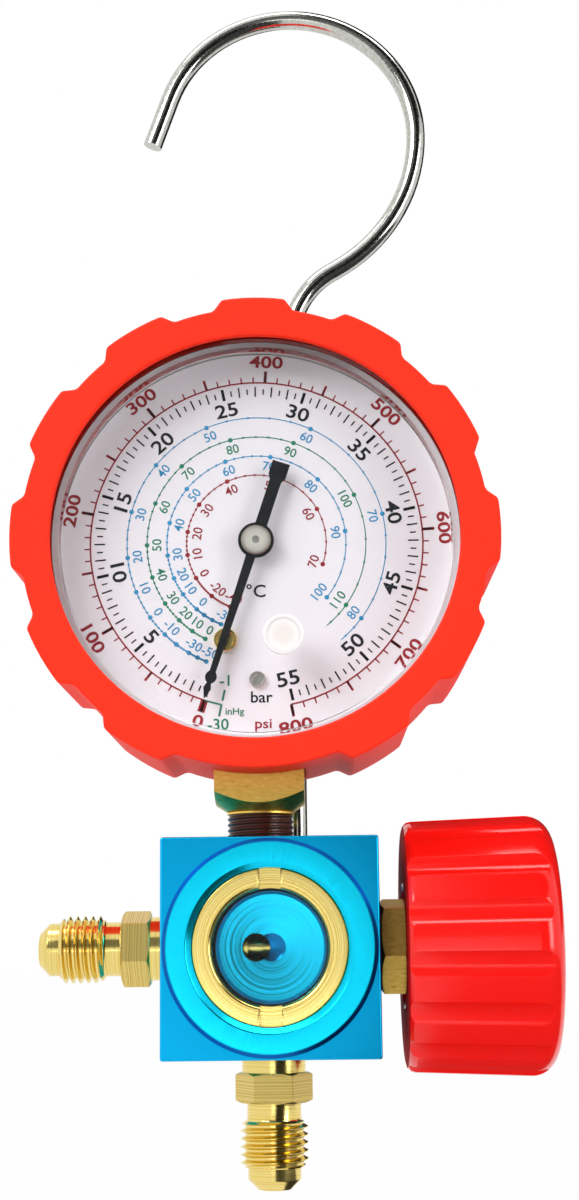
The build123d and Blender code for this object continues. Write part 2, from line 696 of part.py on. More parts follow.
with BuildPart() as gauge_socket:
    with BuildSketch(top_view(block_centre, z=shank_cone_bottom, x=gauge_x)):
        Rectangle(shank_width, shank_width)
    extrude(amount=shank_top_z - shank_cone_bottom)
    cone_rise = shank_square_bottom - shank_cone_bottom
    shank_corner_radius = shank_width / math.sqrt(2)
    revolve(outline(stem_line, (0, shank_cone_bottom), (shank_cone_radius, shank_cone_bottom),
                    (shank_corner_radius, shank_square_bottom),
                    (shank_corner_radius, shank_top_z), (0, shank_top_z)),
            axis=stem_line_axis, mode=Mode.INTERSECT)
    revolve(outline(stem_line, (0, block_height / 2 - socket_thread_depth),
                    (socket_thread_radius, block_height / 2 - socket_thread_depth),
                    (socket_thread_radius, shank_cone_bottom), (0, shank_cone_bottom)),
            axis=stem_line_axis)
    head_middle_y = (socket_head_front_y + socket_head_back_y) / 2
    with BuildSketch(top_view(block_centre, z=shank_top_z, x=gauge_x, y=head_middle_y)):
        Rectangle(socket_head_width, socket_head_back_y - socket_head_front_y)
    extrude(amount=socket_head_z - shank_top_z)
    tongue_middle_y = (tongue_front_y + socket_head_back_y) / 2
    with BuildSketch(top_view(block_centre, z=socket_head_z, x=gauge_x, y=tongue_middle_y)):
        Rectangle(socket_head_width, socket_head_back_y - tongue_front_y)
    extrude(amount=tongue_height)
    lug_length = socket_head_front_y - dial_front_y - dial_thickness
    extrude(disc(front_view(gauge_centre, y=socket_head_front_y, z=dial_screw_z), lug_radius),
            amount=lug_length)
    extrude(disc(front_view(gauge_centre, y=dial_front_y, z=dial_screw_z),
                 dial_screw_radius + fixed_fit), amount=-dial_screw_hole_depth, mode=Mode.SUBTRACT)
    with BuildSketch(front_view(gauge_centre, y=tongue_front_y)):
        with Locations((-movement_screw_x, movement_screw_z), (movement_screw_x, movement_screw_z)):
            Circle(movement_screw_radius + fixed_fit)
    extrude(amount=-movement_screw_length, mode=Mode.SUBTRACT)
    extrude(disc(top_view(block_centre, z=block_height / 2 - socket_thread_depth, x=gauge_x),
                 socket_port_radius),
            amount=socket_head_z - block_height / 2 + socket_thread_depth - socket_port_stop,
            mode=Mode.SUBTRACT)
    revolve(tube_section(tube_start_angle, fixed_fit), axis=gauge_axis,
            revolution_arc=tube_seat_angle, mode=Mode.SUBTRACT)
save(gauge_socket.part, "gauge_socket")


# Bourdon tube: flattened brass tube bent clockwise from the socket's head to its free tip
with BuildPart() as bourdon_tube:
    revolve(tube_section(tube_start_angle), axis=gauge_axis,
            revolution_arc=tube_start_angle - tube_end_angle)
    revolve(tube_section(tube_start_angle, -tube_wall), axis=gauge_axis,
            revolution_arc=tube_start_angle - tube_end_angle, mode=Mode.SUBTRACT)
save(bourdon_tube.part, "bourdon_tube")

# Free tip: a cap over the tube's end, with a lug that carries the link's pin
tip_angle = math.degrees(tip_length / tube_radius)
link_back_y = link_y + link_thickness
lug_y = link_back_y + running_fit
tip_end = math.radians(tube_end_angle - tip_angle)
lug_top = (tube_radius * math.cos(tip_end), tube_radius * math.sin(tip_end))

with BuildPart() as tube_tip:
    revolve(tube_section(tube_end_angle + tip_angle / 2, tip_wall), axis=gauge_axis,
            revolution_arc=tip_angle + tip_angle / 2)
    revolve(tube_section(tube_end_angle + tip_angle, open_gap / 2), axis=gauge_axis,
            revolution_arc=tip_angle, mode=Mode.SUBTRACT)
    with BuildSketch(front_view(gauge_centre, y=lug_y)):
        with BuildLine() as lug_line:
            Line(lug_top, (tip_pin_x, tip_pin_z))
        trace(lug_line.line, line_width=lug_width)
        with Locations((tip_pin_x, tip_pin_z)):
            Circle(lug_width / 2)
    extrude(amount=-lug_thickness)
    extrude(disc(front_view(gauge_centre, y=lug_y, x=tip_pin_x, z=tip_pin_z),
                 pin_radius + fixed_fit), amount=-lug_thickness, mode=Mode.SUBTRACT)
save(tube_tip.part, "tube_tip")


# Gauge case: a drawn cup with a window for the shank
with BuildPart() as gauge_case:
    revolve(outline(gauge_section, (0, case_front_y), (case_radius, case_front_y),
                    (case_radius, case_back_y), (0, case_back_y)), axis=gauge_axis)
    fillet(gauge_case.edges().group_by(Axis.Y)[-1], case_corner)
    revolve(outline(gauge_section, (0, case_front_y - cut_margin),
                    (case_inner_radius, case_front_y - cut_margin),
                    (case_inner_radius, case_back_y - case_corner),
                    (case_inner_radius - case_corner, case_back_y - case_wall),
                    (0, case_back_y - case_wall)), axis=gauge_axis, mode=Mode.SUBTRACT)
    with BuildSketch(top_view(block_centre, z=shank_square_bottom, x=gauge_x)):
        Rectangle(shank_width + 2 * fixed_fit, shank_width + 2 * fixed_fit)
    extrude(amount=stem_window_height, mode=Mode.SUBTRACT)
save(gauge_case.part, "gauge_case")

# Lens: flat window, thick rim on the gasket, skirt round the case
lens_inner_y = lens_front_y + lens_thickness
lens_rim_y = case_front_y - gasket_thickness
lens_bore = case_radius + 2 * fixed_fit
with BuildPart() as gauge_lens:
    revolve(outline(gauge_section, (0, lens_front_y), (lens_radius - lens_edge, lens_front_y),
                    (lens_radius, lens_front_y + lens_edge),
                    (lens_radius, lens_front_y + lens_skirt_depth),
                    (lens_bore, lens_front_y + lens_skirt_depth), (lens_bore, lens_rim_y),
                    (lens_rim_inner_radius, lens_rim_y), (lens_rim_inner_radius, lens_inner_y),
                    (0, lens_inner_y)), axis=gauge_axis)
    extrude(disc(front_view(gauge_centre, y=lens_front_y, x=plug_x, z=plug_z),
                 plug_stem_radius + fixed_fit), amount=-lens_thickness, mode=Mode.SUBTRACT)
save(gauge_lens.part, "gauge_lens")

with BuildPart() as lens_gasket:
    extrude(disc(front_view(gauge_centre, y=lens_rim_y + fixed_fit), case_radius,
                 lens_rim_inner_radius + open_gap), amount=fixed_fit * 2 - gasket_thickness)
save(lens_gasket.part, "lens_gasket")

with BuildPart() as lens_plug:
    extrude(disc(front_view(gauge_centre, y=lens_front_y, x=plug_x, z=plug_z),
                 plug_head_radius), amount=plug_head_height)
    chamfer(lens_plug.edges().group_by(Axis.Y)[0], plug_head_height / 2)
    extrude(disc(front_view(gauge_centre, y=lens_inner_y, x=plug_x, z=plug_z),
                 plug_stem_radius), amount=lens_thickness)
save(lens_plug.part, "lens_plug")


# Dial and the two screws in it
with BuildPart() as dial_plate:
    extrude(disc(front_view(gauge_centre, y=dial_front_y), dial_radius, dial_hole_radius),
            amount=-dial_thickness)
    extrude(disc(front_view(gauge_centre, y=dial_front_y, z=dial_screw_z),
                 dial_screw_radius + fixed_fit), amount=-dial_thickness, mode=Mode.SUBTRACT)
    extrude(disc(front_view(gauge_centre, y=dial_front_y, x=zero_screw_x, z=zero_screw_z),
                 zero_screw_radius + fixed_fit), amount=-dial_thickness, mode=Mode.SUBTRACT)
save(dial_plate.part, "dial_plate")


def slotted_screw(seat, head_radius, shank_radius, shank_length):
    """Screw whose head stands on the seat plane, with a straight slot across it."""
    with BuildPart() as screw:
        extrude(disc(seat, head_radius), amount=screw_head_height)
        extrude(disc(seat, shank_radius), amount=-shank_length)
        with BuildSketch(seat.offset(screw_head_height)):
            Rectangle(screw_slot_width, 2 * (head_radius + cut_margin))
        extrude(amount=-screw_slot_depth, mode=Mode.SUBTRACT)
    return screw.part


front_plate_back_y = front_plate_y + plate_thickness
save(slotted_screw(front_view(gauge_centre, y=dial_front_y, z=dial_screw_z),
                   dial_screw_head_radius, dial_screw_radius, dial_thickness + dial_screw_grip),
     "dial_screw")
save(slotted_screw(front_view(gauge_centre, y=dial_front_y, x=zero_screw_x, z=zero_screw_z),
                   zero_screw_head_radius, zero_screw_radius,
                   front_plate_back_y - dial_front_y), "zero_screw")


# Rubber boot: lobed rim, front lip over the lens, open back and a slot for the stem
def boot_rim(plane):
    """Boot's outline with a lobe every thirty degrees, but none over the stem."""
    lobe_step = 360 / boot_lobes
    base = math.radians(boot_lobe_base)
    top = math.radians(boot_lobe_top)
    inner = boot_valley_radius - cut_margin
    outer = boot_lobe_radius + cut_margin
    with BuildSketch(plane) as drawn:
        Circle(boot_valley_radius)
        with PolarLocations(0, boot_lobes - 1, start_angle=lobe_step - 90,
                            angular_range=360 - 2 * lobe_step, endpoint=True):
            Polygon((inner * math.cos(base), -inner * math.sin(base)),
                    (outer * math.cos(top), -outer * math.sin(top)),
                    (outer * math.cos(top), outer * math.sin(top)),
                    (inner * math.cos(base), inner * math.sin(base)), align=None)
        Circle(boot_lobe_radius, mode=Mode.INTERSECT)
    return drawn.sketch


boot_lens_bore = lens_radius + 2 * fixed_fit
boot_case_bore = case_radius + 2 * fixed_fit
lens_skirt_end = lens_front_y + lens_skirt_depth + open_gap
with BuildPart() as rubber_boot:
    extrude(boot_rim(front_view(gauge_centre, y=boot_back_y)),
            amount=boot_back_y - boot_front_y)
    revolve(outline(gauge_section, (0, boot_front_y),
                    (boot_lobe_radius - boot_front_edge, boot_front_y),
                    (boot_lobe_radius, boot_front_y + boot_front_edge),
                    (boot_lobe_radius, boot_back_y - boot_front_edge),
                    (boot_lobe_radius - boot_front_edge, boot_back_y), (0, boot_back_y)),
            axis=gauge_axis, mode=Mode.INTERSECT)
    revolve(outline(gauge_section, (0, boot_front_y - cut_margin),
                    (boot_opening_radius, boot_front_y - cut_margin),
                    (boot_opening_radius, lens_front_y - fixed_fit),
                    (boot_lens_bore, lens_front_y - fixed_fit), (boot_lens_bore, lens_skirt_end),
                    (boot_case_bore, lens_skirt_end), (boot_case_bore, case_back_y + fixed_fit),
                    (boot_back_opening_radius, case_back_y + fixed_fit),
                    (boot_back_opening_radius, boot_back_y + cut_margin),
                    (0, boot_back_y + cut_margin)),
            axis=gauge_axis, mode=Mode.SUBTRACT)
    with BuildSketch(top_view(block_centre, z=shank_square_bottom, x=gauge_x)):
        Rectangle(shank_width + 2 * fixed_fit, shank_width + 2 * fixed_fit)
    extrude(amount=stem_window_height, mode=Mode.SUBTRACT)
save(rubber_boot.part, "rubber_boot")


# Movement plates, pillars and their screws
pinion_pitch = module * pinion_teeth / 2
sector_pitch = module * sector_full_teeth / 2
pivot_z = -(pinion_pitch + sector_pitch)
plate_bottom = socket_head_top + running_fit * 3
back_plate_end_y = back_plate_y + plate_thickness
arbor_hole = arbor_radius + running_fit
pillar_places = [(-pillar_x, pillar_top_z), (pillar_x, pillar_top_z),
                 (-pillar_x, pillar_low_z), (pillar_x, pillar_low_z)]
movement_screw_places = [(-movement_screw_x, movement_screw_z),
                         (movement_screw_x, movement_screw_z)]


def movement_plate(front_y, screw_places, zero_hole):
    """Brass plate with the two arbor holes, a hole for each screw and, in front, the zero hole."""
    with BuildPart() as plate:
        with BuildSketch(front_view(gauge_centre, y=front_y)):
            with Locations((0, (plate_top + plate_bottom) / 2)):
                RectangleRounded(2 * plate_half_width, plate_top - plate_bottom, plate_corner)
            with Locations((0, 0), (0, pivot_z)):
                Circle(arbor_hole, mode=Mode.SUBTRACT)
            with Locations(*screw_places):
                Circle(movement_screw_radius + fixed_fit, mode=Mode.SUBTRACT)
            if zero_hole:
                with Locations((zero_screw_x, zero_screw_z)):
                    Circle(zero_screw_radius + fixed_fit, mode=Mode.SUBTRACT)
        extrude(amount=-plate_thickness)
    return plate.part


save(movement_plate(front_plate_y, pillar_places, True), "movement_front_plate")
save(movement_plate(back_plate_y, movement_screw_places, False), "movement_back_plate")

with BuildPart() as movement_pillars:
    with BuildSketch(front_view(gauge_centre, y=back_plate_y)):
        with Locations(*pillar_places):
            Circle(pillar_radius)
    extrude(amount=back_plate_y - front_plate_back_y)
    with BuildSketch(front_view(gauge_centre, y=front_plate_back_y)):
        with Locations(*pillar_places):
            Circle(movement_screw_radius + fixed_fit)
    extrude(amount=-movement_screw_length, mode=Mode.SUBTRACT)
save(movement_pillars.part, "movement_pillars")

plate_screws = [slotted_screw(front_view(gauge_centre, y=front_plate_y, x=x, z=z),
                              movement_screw_head_radius, movement_screw_radius,
                              plate_thickness + movement_screw_length - open_gap)
                for x, z in pillar_places]
save(Compound(children=plate_screws), "plate_screws")

movement_screws = [slotted_screw(front_view(gauge_centre, y=back_plate_y, x=x, z=z),
                                 movement_screw_head_radius, movement_screw_radius,
                                 plate_thickness + movement_screw_length - open_gap)
                   for x, z in movement_screw_places]
save(Compound(children=movement_screws), "movement_screws")


# Gear train: pinion on the pointer's arbor, toothed sector below it
def gear_teeth(pitch_radius, angles):
    """Tapered teeth round the sketch's centre, at the given angles in degrees."""
    tooth_pitch = math.pi * module
    root = pitch_radius - tooth_dedendum * module
    tip = pitch_radius + tooth_addendum * module
    half_root = tooth_root_share * tooth_pitch / 2
    half_tip = tooth_tip_share * tooth_pitch / 2
    for angle in angles:
        with Locations(Location((0, 0, 0), (0, 0, angle))):
            Polygon((root - module / 2, -half_root), (root, -half_root), (tip, -half_tip),
                    (tip, half_tip), (root, half_root), (root - module / 2, half_root),
                    align=None)


with BuildPart() as pinion_arbor:
    revolve(outline(gauge_section, (0, arbor_front_y), (arbor_radius, arbor_front_y),
                    (arbor_radius, collet_y), (collet_radius, collet_y),
                    (collet_radius, collet_y + collet_length),
                    (arbor_radius, collet_y + collet_length),
                    (arbor_radius, back_plate_end_y), (0, back_plate_end_y)), axis=gauge_axis)
    with BuildSketch(front_view(gauge_centre, y=pinion_y)):
        Circle(pinion_pitch - tooth_dedendum * module)
        gear_teeth(pinion_pitch, [360 / pinion_teeth * tooth - 90 for tooth in range(pinion_teeth)])
    extrude(amount=-pinion_length)
save(pinion_arbor.part, "pinion_arbor")

sector_step = 360 / sector_full_teeth
sector_angles = [90 + sector_step * (sector_teeth_left - 0.5 - tooth)
                 for tooth in range(sector_teeth)]
sector_root = sector_pitch - tooth_dedendum * module
rim_start = math.radians(sector_angles[-1] - sector_step)
rim_end = math.radians(sector_angles[0] + sector_step)
tail_turn = math.radians(-90 - sector_tail_angle)
tail_pin = (sector_tail * math.cos(tail_turn), sector_tail * math.sin(tail_turn))

with BuildPart() as sector_gear:
    with BuildSketch(front_view(gauge_centre, y=sector_y, z=pivot_z)):
        with BuildLine():
            CenterArc((0, 0), sector_root, math.degrees(rim_start),
                      math.degrees(rim_end - rim_start))
            Line((sector_root * math.cos(rim_start), sector_root * math.sin(rim_start)), (0, 0))
            Line((sector_root * math.cos(rim_end), sector_root * math.sin(rim_end)), (0, 0))
        make_face()
        with BuildLine():
            window_start = rim_start + sector_arm / sector_root
            window_end = rim_end - sector_arm / sector_root
            window_outer = sector_root - sector_rim
            window_inner = sector_hub_radius + sector_arm
            inner_start = window_start + math.radians(sector_window_inset)
            inner_end = window_end - math.radians(sector_window_inset)
            CenterArc((0, 0), window_outer, math.degrees(window_start),
                      math.degrees(window_end - window_start))
            CenterArc((0, 0), window_inner, math.degrees(inner_start),
                      math.degrees(inner_end - inner_start))
            Line((window_outer * math.cos(window_start), window_outer * math.sin(window_start)),
                 (window_inner * math.cos(inner_start), window_inner * math.sin(inner_start)))
            Line((window_outer * math.cos(window_end), window_outer * math.sin(window_end)),
                 (window_inner * math.cos(inner_end), window_inner * math.sin(inner_end)))
        make_face(mode=Mode.SUBTRACT)
        Circle(sector_hub_radius)
        gear_teeth(sector_pitch, sector_angles)
        with Locations(Location((0, 0, 0), (0, 0, math.degrees(tail_turn)))):
            Polygon((0, -tail_bar_width / 2), (sector_tail, -tail_bar_width / 2),
                    (sector_tail, tail_bar_width / 2), (0, tail_bar_width / 2), align=None)
        with Locations(Location((*tail_pin, 0), (0, 0, math.degrees(tail_turn)))):
            SlotCenterToCenter(2 * slot_play, tail_bar_width)
            SlotCenterToCenter(2 * slot_play, 2 * (pin_radius + slot_side_play),
                               mode=Mode.SUBTRACT)
        Circle(arbor_radius + fixed_fit, mode=Mode.SUBTRACT)
    extrude(amount=-sector_thickness)
save(sector_gear.part, "sector_gear")

sector_axis = Axis(gauge_centre + Vector(0, 0, pivot_z), back)
with BuildPart() as sector_arbor:
    revolve(outline(top_view(gauge_centre, z=pivot_z), (0, front_plate_y),
                    (arbor_radius, front_plate_y), (arbor_radius, sector_y - collet_length),
                    (sector_hub_radius, sector_y - collet_length),
                    (sector_hub_radius, sector_y), (arbor_radius, sector_y),
                    (arbor_radius, back_plate_end_y), (0, back_plate_end_y)), axis=sector_axis)
save(sector_arbor.part, "sector_arbor")


# Link between the tube's tip and the sector's tail, with a pin at each end
tail_pin_z = pivot_z + tail_pin[1]
with BuildPart() as link:
    with BuildSketch(front_view(gauge_centre, y=link_y)):
        with BuildLine() as link_line:
            Line((tip_pin_x, tip_pin_z), (tail_pin[0], tail_pin_z))
        trace(link_line.line, line_width=link_bar_width)
        with Locations((tip_pin_x, tip_pin_z), (tail_pin[0], tail_pin_z)):
            Circle(link_width / 2)
        with Locations((tip_pin_x, tip_pin_z)):
            Circle(pin_radius + running_fit, mode=Mode.SUBTRACT)
        with Locations((tail_pin[0], tail_pin_z)):
            Circle(pin_radius + fixed_fit / 2, mode=Mode.SUBTRACT)
    extrude(amount=-link_thickness)
save(link.part, "link")


def headed_pin(x, z, head_y, end_y):
    """Pin with a round head in front, ending at a depth behind it."""
    with BuildPart() as pin:
        extrude(disc(front_view(gauge_centre, y=head_y, x=x, z=z), pin_head_radius),
                amount=pin_head_thickness)
        extrude(disc(front_view(gauge_centre, y=head_y, x=x, z=z), pin_radius),
                amount=head_y - end_y)
    return pin.part


save(headed_pin(tail_pin[0], tail_pin_z, sector_y - running_fit * 2, link_back_y), "tail_pin")
save(headed_pin(tip_pin_x, tip_pin_z, link_y - running_fit, lug_y + lug_thickness), "tip_pin")


# Hairspring in half turns of growing radius, and the stud that holds its outer end
half_turns = 2 * spring_turns
with BuildPart() as hairspring:
    with BuildSketch(front_view(gauge_centre, y=spring_y)):
        with BuildLine() as coil:
            for turn in range(half_turns):
                CenterArc((spring_pitch / 2 * (turn % 2), 0),
                          spring_inner_radius + spring_pitch / 2 * turn, 180 * (turn % 2), 180)
        trace(coil.line, line_width=spring_strip)
    extrude(amount=-spring_height)
save(hairspring.part, "hairspring")

stud_x = spring_inner_radius + spring_pitch * spring_turns + stud_radius + spring_strip / 2
with BuildPart() as spring_stud:
    extrude(disc(front_view(gauge_centre, y=spring_y + spring_height, x=stud_x), stud_radius),
            amount=spring_y + spring_height - front_plate_back_y)
save(spring_stud.part, "spring_stud")


# Pointer and its bush
needle = math.radians(pointer_rest_angle)
pointer_plane = Plane(origin=gauge_centre + back * pointer_y,
                      x_dir=(-math.sin(needle), 0, -math.cos(needle)), z_dir=(0, -1, 0))
oval_middle = needle_oval_share * pointer_length
tail_head_start = pointer_tail_length - tail_head_length

with BuildPart() as pointer:
    with BuildSketch(pointer_plane):
        Polygon((0, -needle_root_width / 2), (oval_middle, -needle_tip_width / 2),
                (oval_middle, needle_tip_width / 2), (0, needle_root_width / 2), align=None)
        with Locations((oval_middle, 0)):
            Ellipse(needle_oval_length / 2, needle_oval_width / 2)
        Polygon((oval_middle, 0), (lozenge_middle, -lozenge_width / 2), (pointer_length, 0),
                (lozenge_middle, lozenge_width / 2), align=None)
        Polygon((0, -tail_width / 2), (0, tail_width / 2), (-tail_head_start, tail_width / 2),
                (-tail_head_start - tail_width / 2, tail_head_width / 2),
                (-pointer_tail_length, tail_head_width / 2),
                (-pointer_tail_length, -tail_head_width / 2),
                (-tail_head_start - tail_width / 2, -tail_head_width / 2),
                (-tail_head_start, -tail_width / 2), align=None)
        Circle(pointer_hub_radius)
        Circle(bush_sleeve_radius + fixed_fit / 2, mode=Mode.SUBTRACT)
    extrude(amount=-pointer_thickness)
save(pointer.part, "pointer")

with BuildPart() as pointer_bush:
    revolve(outline(gauge_section, (arbor_radius + fixed_fit / 2, pointer_y - bush_flange),
                    (pointer_bush_radius - bush_flange / 2, pointer_y - bush_flange),
                    (pointer_bush_radius, pointer_y - bush_flange / 2),
                    (pointer_bush_radius, pointer_y), (bush_sleeve_radius, pointer_y),
                    (bush_sleeve_radius, pointer_y + bush_sleeve_length),
                    (arbor_radius + fixed_fit / 2, pointer_y + bush_sleeve_length)),
            axis=gauge_axis)
save(pointer_bush.part, "pointer_bush")
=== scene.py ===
import math

import bpy
from mathutils import Matrix, Vector


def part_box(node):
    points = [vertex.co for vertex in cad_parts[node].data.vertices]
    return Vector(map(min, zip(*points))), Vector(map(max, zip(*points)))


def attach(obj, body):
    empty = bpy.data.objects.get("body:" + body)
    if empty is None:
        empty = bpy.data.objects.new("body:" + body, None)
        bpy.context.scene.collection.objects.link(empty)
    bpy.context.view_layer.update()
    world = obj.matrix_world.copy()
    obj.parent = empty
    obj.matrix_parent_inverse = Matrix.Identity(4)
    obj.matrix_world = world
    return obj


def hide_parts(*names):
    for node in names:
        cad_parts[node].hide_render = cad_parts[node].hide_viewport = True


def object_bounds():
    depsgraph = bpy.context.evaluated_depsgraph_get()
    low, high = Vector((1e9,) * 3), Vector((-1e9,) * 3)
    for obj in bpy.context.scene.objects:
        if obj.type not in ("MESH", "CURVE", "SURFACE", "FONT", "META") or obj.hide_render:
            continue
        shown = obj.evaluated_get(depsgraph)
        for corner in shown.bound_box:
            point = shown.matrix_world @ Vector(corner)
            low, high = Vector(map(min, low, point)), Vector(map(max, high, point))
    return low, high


# Refrigerant manifold gauge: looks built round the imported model. Sizes are millimetres, turned to
# Blender's metres by MM where a mesh is made.

MM = 0.001

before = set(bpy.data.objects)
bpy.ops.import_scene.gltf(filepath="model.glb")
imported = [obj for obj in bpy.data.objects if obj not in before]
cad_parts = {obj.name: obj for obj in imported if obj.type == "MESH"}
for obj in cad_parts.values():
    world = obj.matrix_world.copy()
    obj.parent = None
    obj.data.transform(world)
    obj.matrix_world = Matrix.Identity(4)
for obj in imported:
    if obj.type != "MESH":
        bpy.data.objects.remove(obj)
cad_low, cad_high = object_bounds()

# Places read from the frame
block_low, block_high = (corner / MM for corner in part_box("valve_block"))
dial_low, dial_high = (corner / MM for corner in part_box("dial_plate"))
half_block = (block_high.x - block_low.x) / 2
block_centre = Vector(((block_low.x + block_high.x) / 2, block_high.y - half_block,
                       (block_low.z + block_high.z) / 2))
gauge_centre = Vector(((dial_low.x + dial_high.x) / 2, block_centre.y,
                       (dial_low.z + dial_high.z) / 2))
dial_front = dial_low.y

# Directions
ORIGIN = Vector((0, 0, 0))
ACROSS = Vector((1, 0, 0))
BACK = Vector((0, 1, 0))
UP = Vector((0, 0, 1))

# Block and sight glass
BLOCK_EDGE = 0.42
BOSS_RADIUS = 17.2
BOSS_HEIGHT = 0.7
BOSS_CHAMFER = 0.65
SIGHT_BORE = 12.55
SIGHT_COUNTERSINK = 0.9
SIGHT_RING_FRONT = 17.3     # forward of the block's centre, as are the next two
SIGHT_LEDGE = 9.8
SIGHT_FLOOR = 6.4
SIGHT_DISH = 0.3            # the turned floor falls by this from its edge and again to its middle
SIGHT_CAVITY = 9.0
DIMPLE = 2.25
SLOT_WIDTH = 3.5
SLOT_DEPTH = 2.4

# Ports and bonnet
GAUGE_OFFSET = -1.85
SIGHT_HOLE = -2.5
HOOK_HOLE = 4.2
BOTTOM_PORT = 0.0
PORT_THREAD_RADIUS = 5.556  # 7/16-20 UNF, as is the pitch
PORT_PITCH = 1.27
PORT_FLATS = 11.1
PORT_HEX = (2.75, 7.5)      # along a port from the block's face
LEFT_HEX_TURN = 11.0
BONNET_FLATS = 14.3
BONNET_HEX_TURN = 11.6

# Handwheel, along the valve's axis from the block's centre
WHEEL_INNER = 21.85
WHEEL_OUTER = 46.65
WHEEL_INNER_RADIUS = 20.6
WHEEL_OUTER_RADIUS = 21.5
WHEEL_EDGE = 4.2
WHEEL_RIBS = 16
WHEEL_RIB_ANGLE = 3.2
FLUTE_DEPTH = 0.8
FLUTE_RADIUS = 3.425

# Boot, forward of the gauge's centre
BOOT_LOBE_RADIUS = 40.4
BOOT_VALLEY_RADIUS = 38.6
BOOT_OPENING = 33.75
BOOT_FRONT = 19.4
BOOT_BACK = -12.9

# Dial scales, in degrees clockwise from straight down, with the radii of their lines
PSI_RADIUS = 28.0
BAR_RADIUS = 25.5
LINE_LIFT = 0.03            # of the ink over the enamel, as is the next
LETTER_LIFT = 0.04
BAR_ZERO = 18.34
BAR_STEP = 5.9875
PSI_STEP = 41.28
OUTER_BLUE_MARKS = [(-50, 23), (-30, 31.5), (-10, 45), (0, 55), (10, 68), (20, 84), (30, 105),
                    (40, 129), (50, 157.5), (60, 205.5), (70, 257.5), (80, 307), (85, 320)]
GREEN_MARKS = [(0, 28), (10, 36), (20, 45), (30, 56.5), (40, 72), (50, 89.5), (60, 112.5),
               (70, 137), (80, 166.5), (90, 200.5), (100, 244), (110, 306), (115, 321)]
INNER_BLUE_MARKS = [(-30, 23.5), (0, 42), (10, 55), (20, 67), (30, 82.5), (40, 104), (50, 129),
                    (60, 160), (70, 189.5), (80, 224), (90, 263), (100, 309)]
RED_MARKS = [(-40, 22.5), (-20, 40), (0, 60), (10, 80.5), (20, 100), (30, 125), (40, 155.5),
             (50, 194.5), (60, 241), (70, 289)]

PLUG_PLACE = Vector((4.5, 0, -16.8))    # from the gauge's centre, as is the next
ZERO_PLACE = Vector((-5.3, 0, -16.5))
PLUG_RADIUS = 3.4
BUSH_RADIUS = 2.5


# Helpers for modelling

def deselected():
    """Leaves edit mode, with no piece selected."""
    if bpy.context.object and bpy.context.object.mode != "OBJECT":
        bpy.ops.object.mode_set(mode="OBJECT")
    bpy.ops.object.select_all(action="DESELECT")


def applied(piece, kind, **settings):
    """Adds a modifier with its settings and applies it."""
    modifier = piece.modifiers.new(kind, kind)
    for name, value in settings.items():
        setattr(modifier, name, value)
    bpy.context.view_layer.objects.active = piece
    bpy.ops.object.modifier_apply(modifier=modifier.name)


def turned(axis_point, axis, points, steps=96, out=None):
    """Lathe: an outline of (radius, distance along the axis) points, spun once round the axis."""
    out = out or (BACK if abs(axis.dot(BACK)) < 0.5 else UP)
    places = [(axis_point + axis * along + out * radius) * MM for radius, along in points]
    deselected()
    bpy.ops.mesh.primitive_plane_add(size=MM, location=(0, 0, 0))
    bpy.ops.object.mode_set(mode="EDIT")
    bpy.ops.mesh.select_all(action="SELECT")
    bpy.ops.mesh.merge(type="CENTER")
    bpy.ops.transform.translate(value=places[0])
    for here, there in zip(places, places[1:]):
        bpy.ops.mesh.extrude_vertices_move(TRANSFORM_OT_translate={"value": there - here})
    bpy.ops.mesh.select_all(action="SELECT")
    bpy.ops.mesh.spin(steps=steps, angle=math.tau, center=axis_point * MM, axis=axis)
    bpy.ops.mesh.select_all(action="SELECT")
    bpy.ops.mesh.remove_doubles(threshold=0.002 * MM)
    bpy.ops.mesh.normals_make_consistent(inside=False)
    bpy.ops.object.mode_set(mode="OBJECT")
    return bpy.context.object


def prism(centre, axis, sides, radius, length, turn=0.0):
    """Upright bar with flat sides, its middle at the centre, its length along the axis."""
    deselected()
    bpy.ops.mesh.primitive_cylinder_add(vertices=sides, radius=radius * MM, depth=length * MM)
    piece = bpy.context.object
    lean = UP.rotation_difference(axis).to_matrix().to_4x4()
    spin = Matrix.Rotation(math.radians(turn), 4, "Z")
    piece.matrix_world = Matrix.Translation(centre * MM) @ lean @ spin
    bpy.ops.object.transform_apply(location=True, rotation=True, scale=True)
    return piece


def brick(low, high):
    """Box between two corners."""
    deselected()
    bpy.ops.mesh.primitive_cube_add(size=MM, location=(low + high) / 2 * MM, scale=high - low)
    bpy.ops.object.transform_apply(location=True, rotation=True, scale=True)
    return bpy.context.object


def combined(piece, tool, operation):
    """Cuts, joins or crosses the piece with a tool shape, which is then removed."""
    applied(piece, "BOOLEAN", operation=operation, object=tool, solver="EXACT")
    bpy.data.objects.remove(tool)
    return piece


def joined(*pieces):
    """Several pieces made one."""
    deselected()
    for piece in pieces:
        piece.select_set(True)
    bpy.context.view_layer.objects.active = pieces[0]
    bpy.ops.object.join()
    return pieces[0]


def softened(piece, width, segments=2, angle=30, edge_slot=-1):
    """Rounds the sharp edges, which may take another of the piece's materials."""
    applied(piece, "BEVEL", width=width * MM, segments=segments, limit_method="ANGLE",
            angle_limit=math.radians(angle), use_clamp_overlap=True, material=edge_slot)
    return piece


def finished(piece, name, body, finish, smooth=35):
    """Names the piece, smooths it, and gives it its material and body."""
    deselected()
    piece.name = piece.data.name = name
    piece.select_set(True)
    bpy.context.view_layer.objects.active = piece
    bpy.ops.object.transform_apply(location=True, rotation=True, scale=True)
    bpy.ops.object.shade_smooth_by_angle(angle=math.radians(smooth))
    applied(piece, "WEIGHTED_NORMAL", keep_sharp=True)
    if finish not in list(piece.data.materials):
        piece.data.materials.clear()
        piece.data.materials.append(finish)
    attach(piece, body)
    return piece


